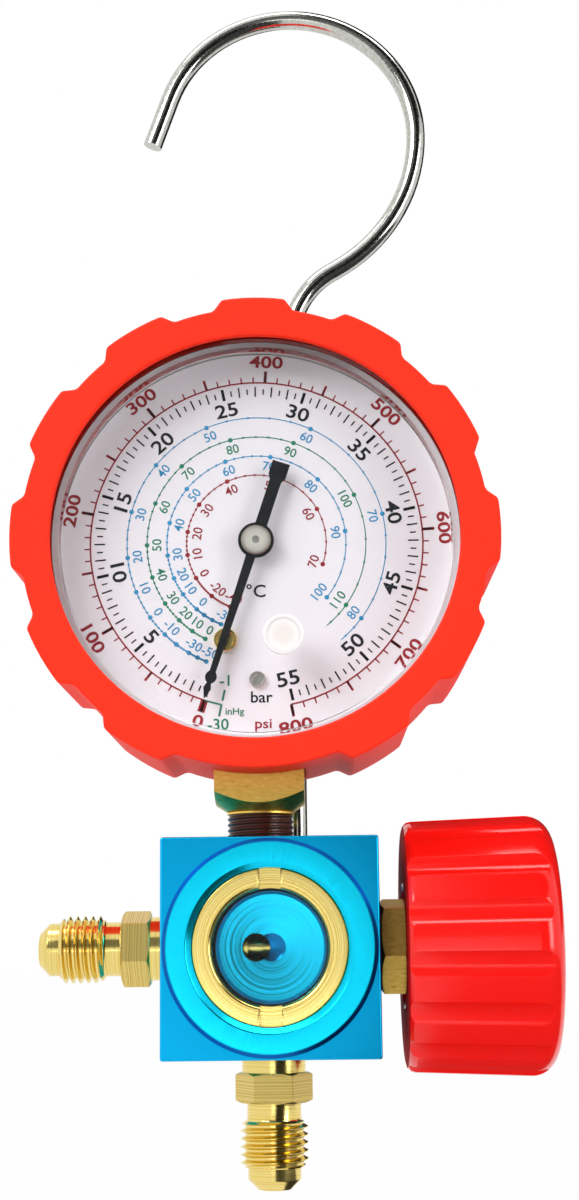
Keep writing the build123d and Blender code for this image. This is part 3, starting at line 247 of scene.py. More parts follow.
def laid(piece, centre, axis, first):
    """Moves a piece made along +Z, with +Y towards first, to its place."""
    turn = Matrix((first.cross(axis), first, axis)).transposed().to_4x4()
    piece.matrix_world = Matrix.Translation(centre * MM) @ turn
    deselected()
    piece.select_set(True)
    bpy.context.view_layer.objects.active = piece
    bpy.ops.object.transform_apply(location=True, rotation=True, scale=True)
    return piece


def copied(piece):
    """Copy of a piece with its own mesh."""
    copy = piece.copy()
    copy.data = piece.data.copy()
    bpy.context.collection.objects.link(copy)
    return copy


def round_about(piece, centre, axis, count, step):
    """Repeats the piece round an axis, a step of so many degrees apart."""
    deselected()
    bpy.ops.object.empty_add()
    hub = bpy.context.object
    move = Matrix.Translation(centre * MM)
    hub.matrix_world = move @ Matrix.Rotation(math.radians(step), 4, axis) @ move.inverted()
    bpy.context.view_layer.update()
    applied(piece, "ARRAY", count=count, use_relative_offset=False, use_object_offset=True,
            offset_object=hub)
    bpy.data.objects.remove(hub)
    return piece


# Helpers for materials

def colour(code):
    """An sRGB hex colour as linear red, green, blue and alpha."""
    parts = [int(code[place:place + 2], 16) / 255 for place in (1, 3, 5)]
    return [part / 12.92 if part <= 0.04045 else ((part + 0.055) / 1.055) ** 2.4
            for part in parts] + [1.0]


def fed(tree, made, inputs):
    """Gives each input of a node a value or another node's output."""
    for socket, value in inputs.items():
        if isinstance(value, bpy.types.NodeSocket):
            tree.links.new(value, made.inputs[socket])
        else:
            made.inputs[socket].default_value = value


def node(tree, kind, inputs=None, stops=(), **settings):
    """Adds a node with its settings and inputs, and a ramp with its (position, hex colour) stops."""
    made = tree.nodes.new(kind)
    for name, value in settings.items():
        setattr(made, name, value)
    fed(tree, made, inputs or {})
    if stops:
        elements = made.color_ramp.elements
        while len(elements) < len(stops):
            elements.new(0.5)
        for element, (place, code) in zip(elements, stops):
            element.position = place
            element.color = colour(code)
    return made


def material(name, **constants):
    """A material with one Principled shader, whose fixed values go on its own sockets."""
    made = bpy.data.materials.new(name)
    made.use_nodes = True
    shader = made.node_tree.nodes["Principled BSDF"]
    for socket, value in constants.items():
        shader.inputs[socket.replace("_", " ")].default_value = value
    return made, made.node_tree, shader


def place_of(tree, scale=(1, 1, 1), centre=(0, 0, 0)):
    """Object coordinates in millimetres times a scale, from a centre given in millimetres."""
    raw = node(tree, "ShaderNodeTexCoord").outputs["Object"]
    shift = [-value * MM for value in centre]
    moved = node(tree, "ShaderNodeVectorMath", {0: raw, 1: shift}, operation="ADD")
    return node(tree, "ShaderNodeVectorMath", {0: moved.outputs[0], 1: [s / MM for s in scale]},
                operation="MULTIPLY").outputs[0]


def grain(tree, size, detail=3.0, scale=(1, 1, 1)):
    """Noise whose blobs are about size millimetres across."""
    return node(tree, "ShaderNodeTexNoise", {"Vector": place_of(tree, scale), "Scale": 1 / size,
                                             "Detail": detail}).outputs["Fac"]


def surfaced(tree, shader, tone, wear, gloss_range, height, depth):
    """Gives the shader its colour, a roughness that follows the wear from one value to another, and
    a relief of a depth in millimetres."""
    low, high = gloss_range
    rough = node(tree, "ShaderNodeMapRange", {"Value": wear, "To Min": low, "To Max": high})
    relief = node(tree, "ShaderNodeBump", {"Height": height, "Distance": depth * MM,
                                           "Strength": 1.0})
    fed(tree, shader, {"Base Color": tone, "Roughness": rough.outputs["Result"],
                       "Normal": relief.outputs["Normal"]})


def metal(name, light, dark, roughness, grain_size, depth=0.01):
    """Metal whose colour and roughness vary with its grain."""
    made, tree, shader = material(name, Metallic=1.0)
    pattern = grain(tree, grain_size, 4.0)
    tone = node(tree, "ShaderNodeValToRGB", {"Fac": pattern}, [(0.3, dark), (0.7, light)])
    surfaced(tree, shader, tone.outputs["Color"], pattern, (roughness - 0.08, roughness + 0.08),
             pattern, depth)
    return made


def plain(name, code, roughness, grain_size, depth=0.01, **constants):
    """Non-metal of one colour with a fine uneven surface."""
    made, tree, shader = material(name, **constants)
    pattern = grain(tree, grain_size)
    surfaced(tree, shader, colour(code), pattern, (roughness - 0.05, roughness + 0.05), pattern,
             depth)
    return made


def level_of(tree, foot, axis):
    """Millimetres from a foot along an axis."""
    place = place_of(tree, (1, 1, 1), foot)
    return node(tree, "ShaderNodeVectorMath", {0: place, 1: axis},
                operation="DOT_PRODUCT").outputs["Value"]


def radius_of(tree, centre):
    """Millimetres from the front-to-back axis through a centre."""
    place = place_of(tree, (1, 0, 1), centre)
    return node(tree, "ShaderNodeVectorMath", {0: place}, operation="LENGTH").outputs["Value"]


def rings(tree, distance, pitch):
    """Uneven turning marks about a pitch apart along a distance."""
    return node(tree, "ShaderNodeTexNoise", {"W": distance, "Scale": 1 / pitch, "Detail": 2.0},
                noise_dimensions="1D").outputs["Fac"]


def within(tree, value, low, high):
    """1 where a value lies between two limits, else 0."""
    above = node(tree, "ShaderNodeMath", {0: value, 1: low}, operation="GREATER_THAN").outputs[0]
    below = node(tree, "ShaderNodeMath", {0: value, 1: high}, operation="LESS_THAN").outputs[0]
    return node(tree, "ShaderNodeMath", {0: above, 1: below}, operation="MULTIPLY").outputs[0]


def anodised_block():
    """Satin dyed aluminium. The turned boss and sight bore are painted brighter as a painted sheen,
    the bore has rings, and the centre dimple and the chamfer round the boss are painted darker as
    painted shade. Feed marks of about 0.15 mm are drawn 0.9 mm apart to show."""
    made, tree, shader = material("blue anodised aluminium", Metallic=1.0)
    radius = radius_of(tree, block_centre)
    front = within(tree, level_of(tree, block_centre, -BACK), 3.0, 30.0)
    share = node(tree, "ShaderNodeMath", {0: radius, 1: 20.0}, operation="DIVIDE").outputs[0]
    # by radius: painted shade in the centre dimple, painted sheen on the bore and the boss, painted
    # shade on the boss's chamfer, then the plain face
    painted_sheen_and_shade = node(tree, "ShaderNodeValToRGB", {"Fac": share}, [
        (0.112, "#0478B8"), (0.118, "#12D2FF"), (0.825, "#14DCFF"), (0.832, "#0A62B4"),
        (0.858, "#0A62B4"), (0.864, "#10B8F4")]).outputs["Color"]
    plain_face = node(tree, "ShaderNodeValToRGB", {"Fac": grain(tree, 0.8)},
                      [(0.3, "#0CB0F0"), (0.7, "#14BCF6")]).outputs["Color"]
    tone = node(tree, "ShaderNodeMix", {0: front, 6: plain_face, 7: painted_sheen_and_shade}, data_type="RGBA")
    turned_zone = node(tree, "ShaderNodeMath", {0: front, 1: within(tree, radius, 0.0, 16.4)},
                       operation="MULTIPLY").outputs[0]
    bore = within(tree, radius, 0.0, SIGHT_CAVITY + 0.3)
    ringed = node(tree, "ShaderNodeMath", {0: rings(tree, radius, 0.9), 1: bore},
                  operation="MULTIPLY").outputs[0]
    height = node(tree, "ShaderNodeMath", {0: grain(tree, 0.3), 1: 0.06, 2: ringed},
                  operation="MULTIPLY_ADD").outputs[0]
    surfaced(tree, shader, tone.outputs[2], turned_zone, (0.36, 0.24), height, 0.05)
    return made


def lathe_brass(name, distance, hexagon_low=0.0, hexagon_high=0.0):
    """Bright turned brass with fine rings, and duller scratched flats where the bar stays hexagonal.
    Feed marks of about 0.08 mm are drawn 0.3 mm apart to show."""
    made, tree, shader = material(name, Metallic=1.0)
    along = distance(tree)
    marks = rings(tree, along, 0.3)
    bright = node(tree, "ShaderNodeValToRGB", {"Fac": marks},
                  [(0.3, "#E4C664"), (0.7, "#F4E092")]).outputs["Color"]
    scratched = node(tree, "ShaderNodeValToRGB", {"Fac": rings(tree, along, 0.18)},
                     [(0.35, "#C4A252"), (0.65, "#F0DA84")]).outputs["Color"]
    flats = within(tree, along, hexagon_low, hexagon_high)
    tone = node(tree, "ShaderNodeMix", {0: flats, 6: bright, 7: scratched}, data_type="RGBA")
    surfaced(tree, shader, tone.outputs[2], flats, (0.17, 0.36), marks, 0.006)
    return made


def milled_bar():
    """Square brass bar as drawn, with small dark drag marks across it that show against the gold."""
    made, tree, shader = material("milled brass bar", Metallic=1.0)
    pits = grain(tree, 0.5, 3.0, (0.35, 1, 1))
    tone = node(tree, "ShaderNodeValToRGB", {"Fac": pits}, [
        (0.26, "#BC8C40"), (0.36, "#F0C860"), (0.6, "#FAD66C"), (0.75, "#FFE48C")])
    surfaced(tree, shader, tone.outputs["Color"], pits, (0.42, 0.34), pits, 0.004)
    return made


def drilled_nickel():
    """Turned nickel with fine rings, darker towards its rim, and a dark dot of 0.7 mm at its centre,
    which is painted shade for the centre hole.
    """
    made, tree, shader = material("turned nickel", Metallic=1.0)
    radius = radius_of(tree, gauge_centre)
    share = node(tree, "ShaderNodeMath", {0: radius, 1: BUSH_RADIUS}, operation="DIVIDE")
    # the dark stop in the middle is painted shade for the centre hole
    tone = node(tree, "ShaderNodeValToRGB", {"Fac": share.outputs[0]}, [
        (0.13, "#3A3428"), (0.18, "#F0ECDE"), (0.7, "#DAD6C8"), (0.95, "#A8A496")])
    marks = rings(tree, radius, 0.15)
    surfaced(tree, shader, tone.outputs["Color"], marks, (0.4, 0.5), marks, 0.004)
    return made


def plug_polyethylene():
    """Milky moulded plastic, darker in its thin middle and in a ring 2.7 mm from its centre, which is
    painted shade.
    """
    made, tree, shader = material("natural polyethylene", IOR=1.51)
    radius = radius_of(tree, gauge_centre + PLUG_PLACE)
    share = node(tree, "ShaderNodeMath", {0: radius, 1: PLUG_RADIUS}, operation="DIVIDE")
    # the darker middle and the darker ring at 0.8 of the radius are painted shade
    tone = node(tree, "ShaderNodeValToRGB", {"Fac": share.outputs[0]}, [
        (0.35, "#E6DEDA"), (0.68, "#EEEAE8"), (0.8, "#DEDADA"), (0.95, "#F4F2F2")])
    pattern = grain(tree, 0.8)
    surfaced(tree, shader, tone.outputs["Color"], pattern, (0.4, 0.5), pattern, 0.01)
    return made


def clear(name, tint, index):
    """Clear plastic or glass that lets lamps through, so that what lies behind it is lit."""
    made, tree, shader = material(name, Roughness=0.02, IOR=index, Transmission_Weight=1.0)
    shader.inputs["Base Color"].default_value = colour(tint)
    path = node(tree, "ShaderNodeLightPath").outputs["Is Shadow Ray"]
    through = node(tree, "ShaderNodeBsdfTransparent", {"Color": colour(tint)})
    mix = node(tree, "ShaderNodeMixShader", {0: path, 1: shader.outputs["BSDF"],
                                             2: through.outputs["BSDF"]})
    tree.links.new(mix.outputs["Shader"], tree.nodes["Material Output"].inputs["Surface"])
    return made


# Metals
# bright plating, a soft mirror of the studio
plated_wire = metal("bright plated steel wire", "#D2D2CC", "#B4B4AC", 0.14, 0.6, 0.003)
# dyed satin blue, with the boss and the bore painted brighter as a painted sheen, and painted shade in
# the centre dimple and on the boss's chamfer
anodised = anodised_block()
# rings across each port make bright bands along it
left_brass = lathe_brass(
    "turned brass along the left port",
    lambda tree: level_of(tree, block_centre - ACROSS * half_block, -ACROSS), *PORT_HEX)
bottom_brass = lathe_brass(
    "turned brass along the bottom port",
    lambda tree: level_of(tree, block_centre - UP * half_block, -UP), *PORT_HEX)
# faced on a lathe, so the rings run round the middle
faced_brass = lathe_brass("turned brass faced round the sight glass",
                          lambda tree: radius_of(tree, block_centre))
screw_brass = lathe_brass("turned brass faced on the calibration screw",
                          lambda tree: radius_of(tree, gauge_centre + ZERO_PLACE))
# small yellow parts, evenly bright
turned_brass = metal("turned brass", "#F0DC8C", "#DEC060", 0.22, 0.25, 0.003)
# a warm gold with dark flecks
milled_brass = milled_bar()
# pale and soft, with a dark dot of painted shade for its centre hole
nickel = drilled_nickel()
# pale warm grey with a soft shine
steel = metal("zinc plated steel", "#DAD6CE", "#C2BEB6", 0.3, 0.3, 0.004)
# redder and darker than brass
bronze = metal("spring bronze", "#C08A48", "#96652E", 0.3, 0.5)

# Rubber, plastics and glass
# soft and nearly without gloss, so the red stays full
rubber = plain("moulded red rubber", "#FF2A06", 0.6, 0.4, 0.01, Specular_IOR_Level=0.25)
# a deep red with sharp lights along the ribs
wheel_plastic = plain("glossy red ABS", "#EE120C", 0.15, 2.0, 0.004, Specular_IOR_Level=0.45)
# the grips' edges are pale as a painted highlight along each rib
rib_edge_highlight_plastic = plain("glossy red ABS with painted rib edge highlight", "#FF9484", 0.22, 0.6, 0.01)
# the wheel's inner side is as moulded and dull; its darker red is painted shade, as that side faces
# the block
matt_plastic_painted_shade = plain("red ABS as moulded with painted shade", "#B40C08", 0.75, 1.0, 0.02, Specular_IOR_Level=0.12)
# dull black
black_rubber = plain("black nitrile rubber", "#161616", 0.6, 0.3)
# waxy white
ptfe = plain("white PTFE", "#F0F0EE", 0.5, 0.5)
# milky white
plug_plastic = plug_polyethylene()
# clear, so that the dial shows through it
lens_plastic = clear("clear polycarbonate", "#F6F8FA", 1.49)
# its coating takes the white glare off, so its index is set below that of bare glass
sight_glass = clear("coated tempered glass", "#F4FCFC", 1.2)

# Paints, inks and sealant
# smooth and pale, a little warm
case_paint = plain("pale grey stoved enamel", "#F2EEEC", 0.35, 0.5)
# white without glare, so that the print reads
dial_enamel = plain("white dial enamel", "#FAF3F4", 0.45, 0.5, 0.002)
# dense black without glare
pointer_paint = plain("black pointer enamel", "#060709", 0.5, 0.3, 0.003, Specular_IOR_Level=0.2)
# flat colour, as dull as the enamel under it
red_ink, black_ink, green_ink, blue_ink = [
    plain(f"{name} dial ink", code, 0.5, 0.3, 0.002, Specular_IOR_Level=0.3)
    for name, code in (("red", "#A01420"), ("black", "#0C0C10"), ("green", "#14845E"),
                       ("blue", "#2C94C4"))]
# dark brown, set hard and uneven in the thread
sealant = plain("cured thread sealant", "#4A1C0C", 0.32, 0.5, 0.05)

# CAD nodes that stay, by material
node_materials = {
    plated_wire: ["hook"],
    anodised: ["valve_block"],
    left_brass: ["hose_fitting_left"],
    bottom_brass: ["hose_fitting_bottom"],
    faced_brass: ["sight_glass_ring"],
    turned_brass: ["seat_piston", "valve_stem", "tube_tip", "zero_screw", "movement_front_plate",
                   "movement_back_plate", "movement_pillars", "sector_gear", "link", "spring_stud"],
    milled_brass: ["bonnet_nut", "gauge_socket"],
    steel: ["stem_retainer", "handwheel_screw", "dial_screw", "plate_screws", "movement_screws",
            "pinion_arbor", "sector_arbor", "tail_pin", "tip_pin"],
    bronze: ["bourdon_tube", "hairspring"],
    nickel: ["pointer_bush"],
    rubber: ["rubber_boot"],
    wheel_plastic: ["handwheel", "handwheel_cap"],
    black_rubber: ["sight_glass_seal", "bonnet_seal", "piston_o_ring"],
    ptfe: ["stem_packing", "seat_seal", "lens_gasket"],
    case_paint: ["gauge_case"],
    dial_enamel: ["dial_plate"],
    pointer_paint: ["pointer"],
    plug_plastic: ["lens_plug"],
    lens_plastic: ["gauge_lens"],
    sight_glass: ["sight_glass_lens"],
}
for finish, names in node_materials.items():
    for name in names:
        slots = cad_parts[name].data.materials
        slots.clear()
        slots.append(finish)


# Block with its boss and bores

def drilled(piece, foot, axis, bore, mouth, steps=64):
    """Cuts a bore of (radius, level) points out to the block's face. Its mouth is countersunk: how
    deep that starts, how far past the face it ends and how much wider it gets there."""
    radius = bore[-1][0]
    deep, past, wider = mouth
    outline = [(0, bore[0][1]), *bore, (radius, half_block - deep),
               (radius + wider, half_block + past), (radius + wider, half_block + 1),
               (0, half_block + 1)]
    combined(piece, turned(foot, axis, outline, steps), "DIFFERENCE")


def valve_block():
    corner = Vector((half_block,) * 3)
    piece = brick(block_centre - corner, block_centre + corner)
    softened(piece, BLOCK_EDGE, 3)
    rise = half_block + BOSS_HEIGHT
    boss = [(0, half_block - 1), (BOSS_RADIUS, half_block - 1), (BOSS_RADIUS, rise - BOSS_CHAMFER),
            (BOSS_RADIUS - BOSS_CHAMFER, rise), (0, rise)]
    combined(piece, turned(block_centre, -BACK, boss, 192), "UNION")
    mouth = SIGHT_BORE + SIGHT_COUNTERSINK
    sight = [(0, rise + 1), (mouth + 0.12, rise + 1), (mouth + 0.12, rise), (mouth - 0.12, rise - 0.1),
             (SIGHT_BORE, SIGHT_RING_FRONT), (SIGHT_BORE, SIGHT_LEDGE), (SIGHT_CAVITY, SIGHT_LEDGE),
             (SIGHT_CAVITY, SIGHT_FLOOR + 0.7), (SIGHT_CAVITY - 0.4, SIGHT_FLOOR + SIGHT_DISH),
             (0, SIGHT_FLOOR - SIGHT_DISH)]
    combined(piece, turned(block_centre, -BACK, sight, 192), "DIFFERENCE")
    dimple = [(0, SIGHT_FLOOR + 0.4), (DIMPLE, SIGHT_FLOOR + 0.4), (DIMPLE, SIGHT_FLOOR - 0.4),
              (DIMPLE - 0.5, SIGHT_FLOOR - 0.6), (0, SIGHT_FLOOR - 0.75)]
    combined(piece, turned(block_centre, -BACK, dimple, 64), "DIFFERENCE")
    passage = [(0, SIGHT_FLOOR + 0.2), (2.45, SIGHT_FLOOR + 0.2), (2.25, SIGHT_FLOOR - 0.15),
               (2.25, 0), (0, 0)]
    combined(piece, turned(block_centre + ACROSS * SIGHT_HOLE, -BACK, passage, 64), "DIFFERENCE")
    drilled(piece, block_centre, ACROSS, [(5.5, -6.0), (5.5, 13.1), (6.05, 13.1)],
            (0.4, 0.05, 0.45))
    port = [(2.3, 0), (2.3, 9.2), (4.85, 9.2)]
    drilled(piece, block_centre, -ACROSS, port, (0.4, 0.05, 0.45))
    drilled(piece, block_centre + ACROSS * BOTTOM_PORT, -UP, port, (0.4, 0.05, 0.45))
    drilled(piece, block_centre + ACROSS * GAUGE_OFFSET, UP, [(1.6, 0), (1.6, 7.2), (5.15, 7.2)],
            (0.5, 0.05, 0.55))
    hook_foot = Vector((block_centre.x + HOOK_HOLE, 0, block_centre.z))
    drilled(piece, hook_foot, UP, [(1.8, 8.45)], (0.2, 0.02, 0.2), 48)
    finished(piece, "block_body", "manifold", anodised)
    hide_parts("valve_block")


def sight_ring():
    front = SIGHT_RING_FRONT
    piece = turned(block_centre, -BACK, [
        (9.3, front - 3.0), (12.5, front - 3.0), (12.5, front - 0.25), (12.44, front - 0.12),
        (12.36, front - 0.04), (12.25, front), (9.9, front), (9.75, front - 0.05),
        (9.6, front - 0.15), (9.42, front - 0.36), (9.3, front - 0.6), (9.3, front - 3.0)], 192)
    # the cutter stands 1 mm out of the ring's face
    cutter = Vector((SLOT_WIDTH, SLOT_DEPTH + 1, 40)) / 2
    middle = block_centre - BACK * (front - SLOT_DEPTH + cutter.y)
    combined(piece, brick(middle - cutter, middle + cutter), "DIFFERENCE")
    finished(piece, "spanner_ring", "manifold", faced_brass)
    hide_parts("sight_glass_ring")


# Ports and bonnet, made upright at the origin and then laid along their axis

def thread(outer, root, pitch, low, high):
    """Closed screw thread from low to high along +Z, with flats at crest and root."""
    deselected()
    bpy.ops.mesh.primitive_plane_add(size=MM)
    bpy.ops.object.mode_set(mode="EDIT")
    bpy.ops.mesh.select_all(action="SELECT")
    bpy.ops.mesh.merge(type="CENTER")
    profile = [(root, 0), (root, 0.12), (outer, 0.44), (outer, 0.56), (root, 0.88), (root, 1)]
    places = [Vector((radius, 0, low - pitch + share * pitch)) * MM for radius, share in profile]
    bpy.ops.transform.translate(value=places[0])
    for here, there in zip(places, places[1:]):
        bpy.ops.mesh.extrude_vertices_move(TRANSFORM_OT_translate={"value": there - here})
    bpy.ops.object.mode_set(mode="OBJECT")
    piece = bpy.context.object
    turns = math.ceil((high - low) / pitch) + 2
    applied(piece, "SCREW", axis="Z", screw_offset=pitch * MM, iterations=turns, steps=64,
            render_steps=64, use_merge_vertices=True, merge_threshold=0.002 * MM)
    bpy.ops.object.mode_set(mode="EDIT")
    bpy.ops.mesh.select_all(action="SELECT")
    bpy.ops.mesh.remove_doubles(threshold=0.002 * MM)
    for level, side in ((low, {"clear_inner": True}), (high, {"clear_outer": True})):
        bpy.ops.mesh.select_all(action="SELECT")
        bpy.ops.mesh.bisect(plane_co=UP * level * MM, plane_no=UP, use_fill=True,
                            threshold=0.0001 * MM, **side)
    bpy.ops.mesh.select_all(action="SELECT")
    bpy.ops.mesh.normals_make_consistent(inside=False)
    bpy.ops.object.mode_set(mode="OBJECT")
    slope = outer - root
    limit = turned(ORIGIN, UP, [(0, low), (root, low), (outer, low + slope), (outer, high - slope),
                   (root, high), (0, high)], 64, ACROSS)
    return combined(piece, limit, "INTERSECT")


def hexagon(flats, low, high):
    """Hexagon bar along +Z with a corner at +Y, its corners chamfered as on a lathe."""
    corner = flats / math.sqrt(3)
    fall = (corner - flats / 2) / 2
    piece = prism(UP * (low + high) / 2, UP, 6, corner, high - low)
    softened(piece, 0.12, 2)
    limit = turned(ORIGIN, UP, [(0, low), (flats / 2 - 0.05, low), (corner, low + fall),
                   (corner, high - fall), (flats / 2 - 0.05, high), (0, high)], 96, ACROSS)
    return combined(piece, limit, "INTERSECT")


def hose_fitting():
    """Flare fitting along +Z from its shoulder: collar, hexagon, neck, thread, nose and cone."""
    core = turned(ORIGIN, UP, [
        (2.3, -8.0), (4.5, -8.0), (4.8, -7.7), (4.8, 0), (5.2, 0), (5.25, 0.08), (5.25, 2.75),
        (4.4, 2.75), (4.4, 7.5), (4.45, 7.5), (4.45, 10.1), (4.72, 10.6), (4.78, 10.8),
        (4.78, 17.6), (4.35, 17.75), (4.35, 19.72), (4.27, 19.85), (2.8, 21.32), (2.6, 21.4),
        (2.42, 21.4), (2.3, 21.25), (2.3, -8.0)], 96, ACROSS)
    combined(core, thread(PORT_THREAD_RADIUS, 4.76, PORT_PITCH, 10.45, 17.85), "UNION")
    combined(core, hexagon(PORT_FLATS, 2.7, 7.6), "UNION")
    core.name = "fitting_pattern"
    return core


def hose_fittings():
    left = hose_fitting()
    bottom = copied(left)
    turn = math.radians(LEFT_HEX_TURN)
    laid(left, block_centre - ACROSS * half_block, -ACROSS,
         UP * math.cos(turn) + BACK * math.sin(turn))
    laid(bottom, block_centre + ACROSS * BOTTOM_PORT - UP * half_block, -UP, ACROSS)
    finished(left, "flare_fitting_left", "manifold", left_brass)
    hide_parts("hose_fitting_left")
    finished(bottom, "flare_fitting_bottom", "manifold", bottom_brass)
    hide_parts("hose_fitting_bottom")


def bonnet():
    piece = turned(ORIGIN, UP, [(3.96, 13.4), (6.0, 13.4), (6.0, 18.1), (6.3, 18.1), (6.3, 22.3),
                   (2.56, 22.3), (2.56, 21.9), (4.2, 21.9), (4.2, 20.4), (2.56, 20.4),
                   (2.56, 19.85), (3.96, 19.85), (3.96, 13.4)], 96, ACROSS)
    nut = hexagon(BONNET_FLATS, 18.0, 22.4)
    combined(nut, turned(ORIGIN, UP, [(0, 17), (4.5, 17), (4.5, 23), (0, 23)], 64, ACROSS),
             "DIFFERENCE")
    combined(piece, nut, "UNION")
    turn = math.radians(BONNET_HEX_TURN)
    laid(piece, block_centre, ACROSS, BACK * math.cos(turn) + UP * math.sin(turn))
    finished(piece, "bonnet_hexagon", "manifold", milled_brass)
    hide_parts("bonnet_nut")


# Handwheel: turned body with a rounded outer edge, flutes cut between the ribs, a cap in its end

def handwheel():
    # the rounding starts at the cone's radius there, a little inside the outer one
    edge = WHEEL_OUTER_RADIUS - WHEEL_EDGE - (
        WHEEL_OUTER_RADIUS - WHEEL_INNER_RADIUS) * WHEEL_EDGE / (WHEEL_OUTER - WHEEL_INNER)
    rounding = [(edge + WHEEL_EDGE * math.cos(math.radians(angle)),
                 WHEEL_OUTER - WHEEL_EDGE * (1 - math.sin(math.radians(angle))))
                for angle in range(0, 91, 9)]
    piece = turned(ORIGIN, UP, [
        (0, WHEEL_INNER + 7.4), (9.6, WHEEL_INNER + 7.4), (10, WHEEL_INNER + 7.0),
        (10, WHEEL_INNER + 0.3), (10.3, WHEEL_INNER), (WHEEL_INNER_RADIUS - 1.5, WHEEL_INNER),
        (WHEEL_INNER_RADIUS - 0.75, WHEEL_INNER + 0.2), (WHEEL_INNER_RADIUS - 0.2, WHEEL_INNER + 0.75),
        (WHEEL_INNER_RADIUS, WHEEL_INNER + 1.5), *rounding, (13.25, WHEEL_OUTER),
        (13.05, WHEEL_OUTER - 0.2), (13.05, WHEEL_OUTER - 2.35), (5.0, WHEEL_OUTER - 2.35),
        (5.0, 41.05), (0, 41.05)], 240, ACROSS)
    combined(piece, prism(UP * 34, UP, 4, 3.04, 30, 45), "DIFFERENCE")
    lean = math.atan2(WHEEL_OUTER_RADIUS - WHEEL_INNER_RADIUS, WHEEL_OUTER - WHEEL_INNER)
    along = UP * math.cos(lean) + BACK * math.sin(lean)
    middle = UP * (WHEEL_INNER + WHEEL_OUTER) / 2 + BACK * (
        (WHEEL_INNER_RADIUS + WHEEL_OUTER_RADIUS) / 2 - FLUTE_DEPTH + FLUTE_RADIUS)
    flute = prism(middle, along, 64, FLUTE_RADIUS, 40)
    combined(piece, round_about(flute, ORIGIN, UP, WHEEL_RIBS, 360 / WHEEL_RIBS), "DIFFERENCE")
    for plastic in (wheel_plastic, rib_edge_highlight_plastic, matt_plastic_painted_shade):
        piece.data.materials.append(plastic)
    # faces turned to the block take the darker red, which is painted shade
    for face in piece.data.polygons:
        if face.normal.z < -0.9:
            face.material_index = 2
    # the bevel faces take the pale material, a painted highlight along each rib edge
    softened(piece, 0.3, 3, 24, 1)
    # a flute's middle lies half a rib pitch from the rib just above the front
    turn = math.radians(WHEEL_RIB_ANGLE + 180 / WHEEL_RIBS)
    laid(piece, block_centre, ACROSS, -BACK * math.cos(turn) + UP * math.sin(turn))
    finished(piece, "fluted_handwheel", "handwheel_and_stem", wheel_plastic, 30)
    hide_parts("handwheel")
    cap = turned(block_centre, ACROSS, [(0, WHEEL_OUTER - 2.3), (12.8, WHEEL_OUTER - 2.3),
                 (13, WHEEL_OUTER - 2.1), (13, WHEEL_OUTER - 0.7), (12.9, WHEEL_OUTER - 0.45),
                 (12.6, WHEEL_OUTER - 0.3), (0, WHEEL_OUTER - 0.3)], 128)
    finished(cap, "wheel_cap", "handwheel_and_stem", wheel_plastic)
    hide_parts("handwheel_cap")


# Rubber boot

def boot():
    deselected()
    bpy.ops.mesh.primitive_circle_add(vertices=144, radius=BOOT_LOBE_RADIUS * MM,
                                      location=UP * BOOT_BACK * MM, fill_type="NGON")
    piece = bpy.context.object
    bpy.ops.object.transform_apply(location=True, rotation=True, scale=True)
    bpy.ops.object.mode_set(mode="EDIT")
    bpy.ops.mesh.select_mode(type="VERT")
    bpy.ops.mesh.select_all(action="DESELECT")
    bpy.ops.object.mode_set(mode="OBJECT")
    for corner in piece.data.vertices:
        angle = abs(math.degrees(math.atan2(corner.co.x, corner.co.y)))
        off_lobe = abs((angle + 15) % 30 - 15)
        corner.select = off_lobe > 8.7 or angle > 165
    bpy.ops.object.mode_set(mode="EDIT")
    bpy.ops.transform.resize(value=(BOOT_VALLEY_RADIUS / BOOT_LOBE_RADIUS,) * 3,
                             center_override=UP * BOOT_BACK * MM)
    bpy.ops.mesh.select_all(action="SELECT")
    bpy.ops.mesh.extrude_region_move(
        TRANSFORM_OT_translate={"value": UP * (BOOT_FRONT - BOOT_BACK) * MM})
    bpy.ops.mesh.select_all(action="SELECT")
    bpy.ops.mesh.normals_make_consistent(inside=False)
    bpy.ops.object.mode_set(mode="OBJECT")
    combined(piece, turned(ORIGIN, UP, [
        (0, BOOT_FRONT + 1), (BOOT_OPENING, BOOT_FRONT + 1), (BOOT_OPENING, 17.55), (35.3, 17.55),
        (35.3, 8.7), (34.1, 8.7), (34.1, -11.05), (27, -11.05), (27, BOOT_BACK - 1),
        (0, BOOT_BACK - 1)], 192, ACROSS), "DIFFERENCE")
    laid(piece, gauge_centre, -BACK, UP)
    slot_foot = Vector((gauge_centre.x, gauge_centre.y, block_centre.z + 25.6))
    combined(piece, brick(slot_foot - Vector((7.55, 7.55, 10)),
                          slot_foot + Vector((7.55, 7.55, 25))), "DIFFERENCE")
    softened(piece, 0.55, 3, 28)
    finished(piece, "boot_moulding", "manifold", rubber, 30)
    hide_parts("rubber_boot")


# Gauge front: plug in the lens, calibration screw and dial screw

def slotted_head(centre, radius, front, low, shank, rim, slot_angle):
    """Small screw with a raised rim round its slotted face, made along the gauge's axis."""
    piece = turned(centre, -BACK, [(0, low), (shank, low), (shank, front - 0.8),
                   (radius, front - 0.8), (radius, front - 0.12), (radius - 0.12, front),
                   (radius - rim, front), (radius - rim - 0.12, front - 0.18),
                   (0, front - 0.18)], 64)
    groove = brick(Vector((-0.25, -radius * 2, front - 0.5)),
                   Vector((0.25, radius * 2, front + 0.5)))
    turn = math.radians(slot_angle)
    laid(groove, centre, -BACK, UP * math.cos(turn) + ACROSS * math.sin(turn))
    return combined(piece, groove, "DIFFERENCE")


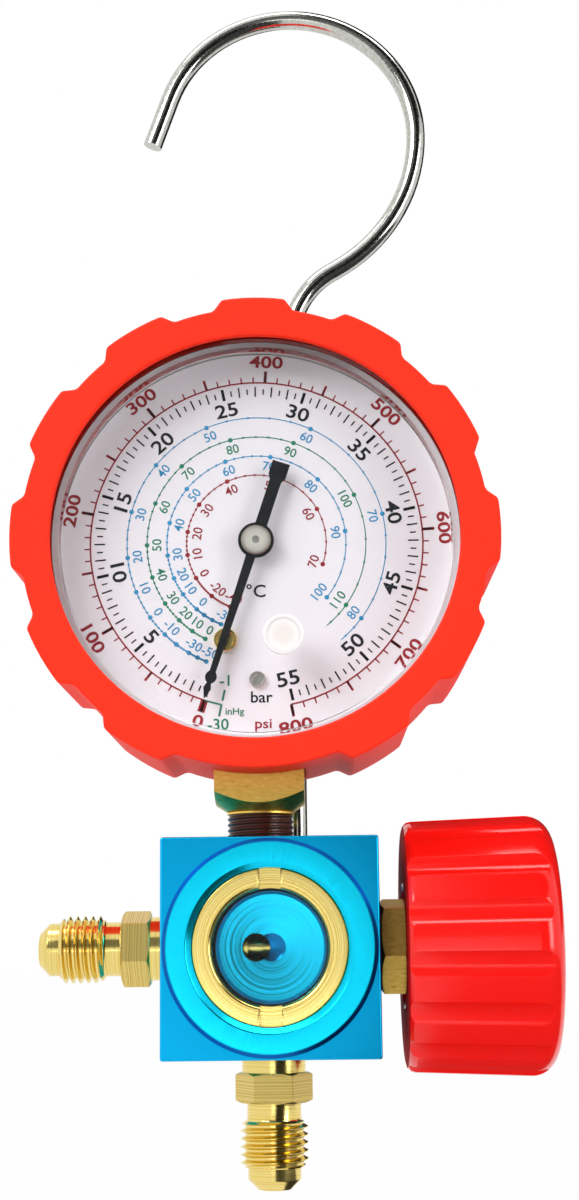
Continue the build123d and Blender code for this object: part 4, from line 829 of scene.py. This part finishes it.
def gauge_front():
    plug = turned(gauge_centre + PLUG_PLACE, -BACK, [
        (0, 15.3), (2.4, 15.3), (2.55, 15.5), (2.55, 17.5), (3.35, 17.5), (3.35, 17.8),
        (3.28, 17.98), (3.1, 18.08), (2.8, 18.1), (2.62, 18.02), (2.5, 17.9), (0, 17.86)], 64)
    finished(plug, "vent_plug", "manifold", plug_plastic)
    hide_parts("lens_plug")
    zero = slotted_head(gauge_centre + ZERO_PLACE, 1.94, 10.8, 5.4, 0.9, 0.5, -40)
    finished(zero, "calibration_screw", "manifold", screw_brass)
    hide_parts("zero_screw")
    small = slotted_head(gauge_centre + Vector((0, 0, -23.2)), 1.35, 10.8, 6.6, 0.7, 0.3, 30)
    finished(small, "dial_fixing_screw", "manifold", steel)
    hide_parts("dial_screw")


def socket():
    """The socket with softened edges, and its thread as a piece of its own."""
    piece = copied(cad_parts["gauge_socket"])
    deselected()
    piece.select_set(True)
    bpy.context.view_layer.objects.active = piece
    bpy.ops.object.mode_set(mode="EDIT")
    bpy.ops.mesh.select_all(action="SELECT")
    bpy.ops.mesh.remove_doubles(threshold=0.001 * MM)
    bpy.ops.object.mode_set(mode="OBJECT")
    bpy.ops.mesh.customdata_custom_splitnormals_clear()
    foot = block_centre + ACROSS * GAUGE_OFFSET
    combined(piece, turned(foot, UP, [(4.6, 7.0), (6.0, 7.0), (6.0, 22.5), (4.6, 22.5),
             (4.6, 7.0)], 64), "DIFFERENCE")
    applied(piece, "DECIMATE", decimate_type="DISSOLVE", angle_limit=math.radians(1))
    softened(piece, 0.2, 2, 28)
    combined(piece, turned(foot, UP, [(4.4, 22.0), (5.5, 22.0), (5.65, 22.1), (5.65, 22.4),
             (5.2, 22.7), (4.4, 22.7), (4.4, 22.0)], 96), "UNION")
    finished(piece, "gauge_stem", "manifold", milled_brass)
    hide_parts("gauge_socket")
    sleeve = joined(thread(5.14, 4.7, 0.94, 7.6, 17.5), thread(5.6, 5.3, 0.94, 17.55, 21.98))
    combined(sleeve, turned(ORIGIN, UP, [(0, 7), (4.65, 7), (4.65, 23), (0, 23)], 64, ACROSS),
             "DIFFERENCE")
    laid(sleeve, foot, UP, BACK)
    finished(sleeve, "sealed_stem_thread", "manifold", sealant)


# Dial print: flat ink on the enamel. Angles run clockwise from straight down.

def outward(angle):
    """Direction from the dial's centre."""
    turn = math.radians(angle)
    return Vector((-math.sin(turn), 0, -math.cos(turn)))


def dial_place(angle, radius, lift=LINE_LIFT):
    place = gauge_centre + outward(angle) * radius
    place.y = dial_front - lift
    return place


def facing_front(piece):
    """Turns a flat shape so that its printed side faces out of the dial."""
    if piece.data.polygons[0].normal.y > 0:
        piece.data.flip_normals()
    return piece


def tick(angle, inner, outer, width):
    deselected()
    bpy.ops.mesh.primitive_plane_add(size=MM)
    piece = bpy.context.object
    piece.scale = (width, outer - inner, 1)
    bpy.ops.object.transform_apply(location=True, rotation=True, scale=True)
    return laid(piece, dial_place(angle, (inner + outer) / 2), -BACK, outward(angle))


def ticks(start, end, count, inner, outer, width):
    """A tick at the start angle, repeated evenly up to the end."""
    return round_about(tick(start, inner, outer, width), gauge_centre, BACK, count + 1,
                       (end - start) / count)


def arc(start, end, radius, width):
    deselected()
    bpy.ops.mesh.primitive_plane_add(size=MM)
    piece = bpy.context.object
    bpy.ops.object.mode_set(mode="EDIT")
    bpy.ops.mesh.select_all(action="SELECT")
    bpy.ops.mesh.merge(type="CENTER")
    bpy.ops.transform.translate(value=dial_place(start, radius - width / 2) * MM)
    bpy.ops.mesh.extrude_vertices_move(TRANSFORM_OT_translate={"value": outward(start) * width * MM})
    bpy.ops.mesh.select_all(action="SELECT")
    bpy.ops.mesh.spin(steps=max(8, round((end - start) / 3)), angle=-math.radians(end - start),
                      center=gauge_centre * MM, axis=BACK)
    bpy.ops.object.mode_set(mode="OBJECT")
    return facing_front(piece)


def dot(angle, radius, size, sides):
    deselected()
    bpy.ops.mesh.primitive_circle_add(vertices=sides, radius=size / 2 * MM, fill_type="NGON")
    return laid(bpy.context.object, dial_place(angle, radius, LETTER_LIFT), -BACK, UP)


def lettering(words, place, top, height, stretch=1.0, weight=0.0):
    """Flat printed words, centred on a place, with their top towards a direction."""
    deselected()
    bpy.ops.object.text_add()
    text = bpy.context.object
    text.data.body = words
    text.data.resolution_u = 3
    text.data.offset = weight
    bpy.ops.object.convert(target="MESH")
    piece = bpy.context.object
    corners = [corner.co for corner in piece.data.vertices]
    low = Vector([min(corner[i] for corner in corners) for i in range(3)])
    high = Vector([max(corner[i] for corner in corners) for i in range(3)])
    scale = height * MM / (high.y - low.y)
    piece.location = (-(low.x + high.x) / 2 * scale * stretch, -(low.y + high.y) / 2 * scale, 0)
    piece.scale = (scale * stretch, scale, 1)
    bpy.ops.object.transform_apply(location=True, rotation=True, scale=True)
    return laid(piece, place, -BACK, top)


def number(words, angle, radius, height, stretch=1.0, weight=0.0):
    """A number on its scale: its top faces the centre near the bottom, and outwards elsewhere."""
    near_bottom = min(angle % 360, 360 - angle % 360) < 80
    top = outward(angle) * (-1 if near_bottom else 1)
    return lettering(words, dial_place(angle, radius, LETTER_LIFT), top, height, stretch, weight)


def spread(marks, value):
    """Angle of a value between the marks on either side of it."""
    for (low, low_angle), (high, high_angle) in zip(marks, marks[1:]):
        if value <= high:
            break
    return low_angle + (value - low) / (high - low) * (high_angle - low_angle)


def temperature_scale(radius, marks, first, last, frost_step):
    """Arc with a dot at each even degree, larger at each ten, and below zero at each frost step."""
    pieces = [arc(spread(marks, first), spread(marks, last), radius, 0.17)]
    for value in range(first, last + 1, 2):
        angle = spread(marks, value)
        if value % (10 if value >= 0 else frost_step) == 0:
            pieces.append(dot(angle, radius, 0.8, 16))
        else:
            pieces.append(dot(angle, radius, 0.42, 8))
    for value, angle in marks:
        if value % 10 == 0:
            pieces.append(number(str(value), angle, radius - 1.65, 1.6, 1.0, 0.01))
    return pieces


def words_at(words, x, z, height, stretch=1.05, weight=0.012):
    """Upright words, centred so far across and up from the dial's centre."""
    place = Vector((gauge_centre.x + x, dial_front - LETTER_LIFT, gauge_centre.z + z))
    return lettering(words, place, UP, height, stretch, weight)


def printed(pieces, name, ink):
    finished(joined(*pieces), name, "manifold", ink)


def dial_print():
    zero = BAR_ZERO
    end = zero + PSI_STEP * 8
    red = [arc(zero, end, PSI_RADIUS, 0.27), ticks(zero, end, 80, PSI_RADIUS, 29.0, 0.24),
           ticks(zero, end, 16, PSI_RADIUS, 29.8, 0.42), ticks(zero, end, 8, PSI_RADIUS, 30.05, 0.5),
           tick(zero, PSI_RADIUS, 30.05, 1.2)]
    for step in range(1, 9):
        red.append(number(str(step * 100), zero + PSI_STEP * step, 31.7, 2.2, 1.3, 0.022))
    red.append(number("0", zero, 31.6, 2.1, 1.3, 0.022))
    red.append(words_at("psi", 0.92, -30.87, 2.1, 1.15, 0.014))
    red += temperature_scale(11.75, RED_MARKS, -40, 70, 20)
    printed(red, "scale_red", red_ink)

    end = zero + BAR_STEP * 55
    black = [ticks(zero, end, 55, BAR_RADIUS, 27.3, 0.26), ticks(zero, end, 110, 25.9, 26.9, 0.24),
             ticks(zero, end, 11, 25.4, 27.4, 0.5)]
    for step in range(5, 56, 5):
        black.append(number(str(step), zero + BAR_STEP * step, 23.66, 2.45, 1.22, 0.018))
    black.append(words_at("bar", 0.69, -26.15, 1.9))
    black.append(words_at("°C", -0.14, -8.2, 2.3))
    printed(black, "scale_black", black_ink)

    below = zero - BAR_STEP
    green = [arc(below, zero, PSI_RADIUS, 0.3), tick(below, PSI_RADIUS, 30.0, 0.35),
             tick(below, BAR_RADIUS, 27.3, 0.35), words_at("-30", -6.58, -30.6, 1.9),
             words_at("-1", -5.47, -23.3, 1.8), words_at("inHg", -3.81, -28.65, 1.5)]
    green += temperature_scale(18.42, GREEN_MARKS, 0, 115, 10)
    printed(green, "scale_green", green_ink)

    blue = temperature_scale(21.8, OUTER_BLUE_MARKS, -50, 85, 10)
    blue += temperature_scale(15.07, INNER_BLUE_MARKS, -30, 100, 10)
    printed(blue, "scale_blue", blue_ink)


valve_block()
sight_ring()
hose_fittings()
bonnet()
handwheel()
boot()
gauge_front()
socket()
dial_print()


# Camera, floor and light. The camera is fitted to points of the photo.
camera_place = block_centre + Vector((7.825, -320.213, -0.957))
camera_look = Vector((-0.01337, 0.98277, 0.18434)).normalized()
camera_up = Vector((0.0140, -0.1842, 0.9828))
camera_focal = 56.46

right = camera_look.cross(camera_up).normalized()
up = right.cross(camera_look)
bpy.ops.object.camera_add()
camera = bpy.context.object
camera.matrix_world = Matrix.Translation(camera_place * MM) @ Matrix(
    (right, up, -camera_look)).transposed().to_4x4()
camera.data.lens = camera_focal
camera.data.sensor_width = 36.0
camera.data.clip_start = 0.01
camera.data.clip_end = 50
bpy.context.scene.camera = camera


def seen_straight(tree):
    """1 for what the camera sees, itself, mirrored or through clear pieces, and 0 for light."""
    path = node(tree, "ShaderNodeLightPath")
    seen = path.outputs["Is Camera Ray"]
    for ray in ("Is Glossy Ray", "Is Transmission Ray"):
        seen = node(tree, "ShaderNodeMath", {0: seen, 1: path.outputs[ray]},
                    operation="MAXIMUM").outputs[0]
    return seen


FLOOR_DROP = 60.0
floor_z = cad_low.z / MM - FLOOR_DROP
deselected()
bpy.ops.mesh.primitive_plane_add(size=20.0, location=(0, 0, floor_z * MM))
floor = bpy.context.object
floor.name = "floor"
made, tree, shader = material("pale studio floor", Roughness=0.6)
shader.inputs["Base Color"].default_value = colour("#F8F8F8")
glow = node(tree, "ShaderNodeEmission", {"Color": colour("#FFFFFF"), "Strength": 1.0})
share = node(tree, "ShaderNodeMapRange", {"Value": seen_straight(tree), "To Min": 0.0,
                                          "To Max": 0.98})
mix = node(tree, "ShaderNodeMixShader", {0: share.outputs["Result"],
                                         1: shader.outputs["BSDF"], 2: glow.outputs["Emission"]})
tree.links.new(mix.outputs["Shader"], tree.nodes["Material Output"].inputs["Surface"])
floor.data.materials.append(made)


def studio_card(name, place, facing, width, height, code):
    """Card beside the set, seen only in what mirrors it, so that gloss and metal show contrast."""
    deselected()
    bpy.ops.mesh.primitive_plane_add(size=MM)
    card = bpy.context.object
    card.name = name
    card.scale = (width, height, 1)
    bpy.ops.object.transform_apply(location=True, rotation=True, scale=True)
    laid(card, place, facing, BACK if abs(facing.z) > 0.5 else UP)
    made, tree, shader = material(name, Roughness=0.9)
    shader.inputs["Base Color"].default_value = colour(code)
    card.data.materials.append(made)
    card.visible_camera = card.visible_diffuse = card.visible_shadow = False


# dark cards on the right keep what mirrors them deep in tone
DARK = "#141414"
studio_card("front_card_left", Vector((-410, -900, 280)), BACK, 1000, 700, "#7C7C7C")
studio_card("front_card_right", Vector((592, -900, 150)), BACK, 1000, 900, DARK)
studio_card("ceiling_card_front", Vector((500, -600, 600)), -UP, 980, 600, DARK)
studio_card("ceiling_card_back", Vector((500, 190, 540)), -UP, 980, 400, DARK)
studio_card("back_card", Vector((510, 390, 200)), -BACK, 980, 680, DARK)
studio_card("table_card", Vector((470, -400, floor_z + 4)), UP, 900, 1000, "#2C2C2C")

world = bpy.data.worlds.new("studio")
bpy.context.scene.world = world
world.use_nodes = True
tree = world.node_tree
tree.nodes.clear()
strength = node(tree, "ShaderNodeMapRange", {"Value": seen_straight(tree), "To Min": 0.5,
                                             "To Max": 1.0})
sky = node(tree, "ShaderNodeBackground", {"Color": colour("#FFFFFF"),
                                          "Strength": strength.outputs["Result"]})
node(tree, "ShaderNodeOutputWorld", {"Surface": sky.outputs["Background"]})


def softbox(name, place, target, width, height, power):
    """Rectangular studio lamp aimed at a point, sizes in millimetres and power in watts."""
    deselected()
    bpy.ops.object.light_add(type="AREA", location=place * MM)
    lamp = bpy.context.object
    lamp.name = name
    lamp.data.shape = "RECTANGLE"
    lamp.data.size = width * MM
    lamp.data.size_y = height * MM
    lamp.data.energy = power
    lamp.rotation_euler = (target - place).to_track_quat("-Z", "Y").to_euler()
    return lamp


middle = Vector((0, -14, -110))
softbox("key_softbox", Vector((-520, -620, 340)), middle, 480, 400, 3.8)
softbox("fill_softbox", Vector((560, -420, 0)), middle, 200, 420, 1.5)
softbox("top_softbox", Vector((0, -110, 500)), middle, 700, 170, 1.9)
softbox("low_softbox", Vector((-20, -900, -325)), block_centre, 330, 170, 0.62)

bpy.context.scene.view_settings.view_transform = "Standard"
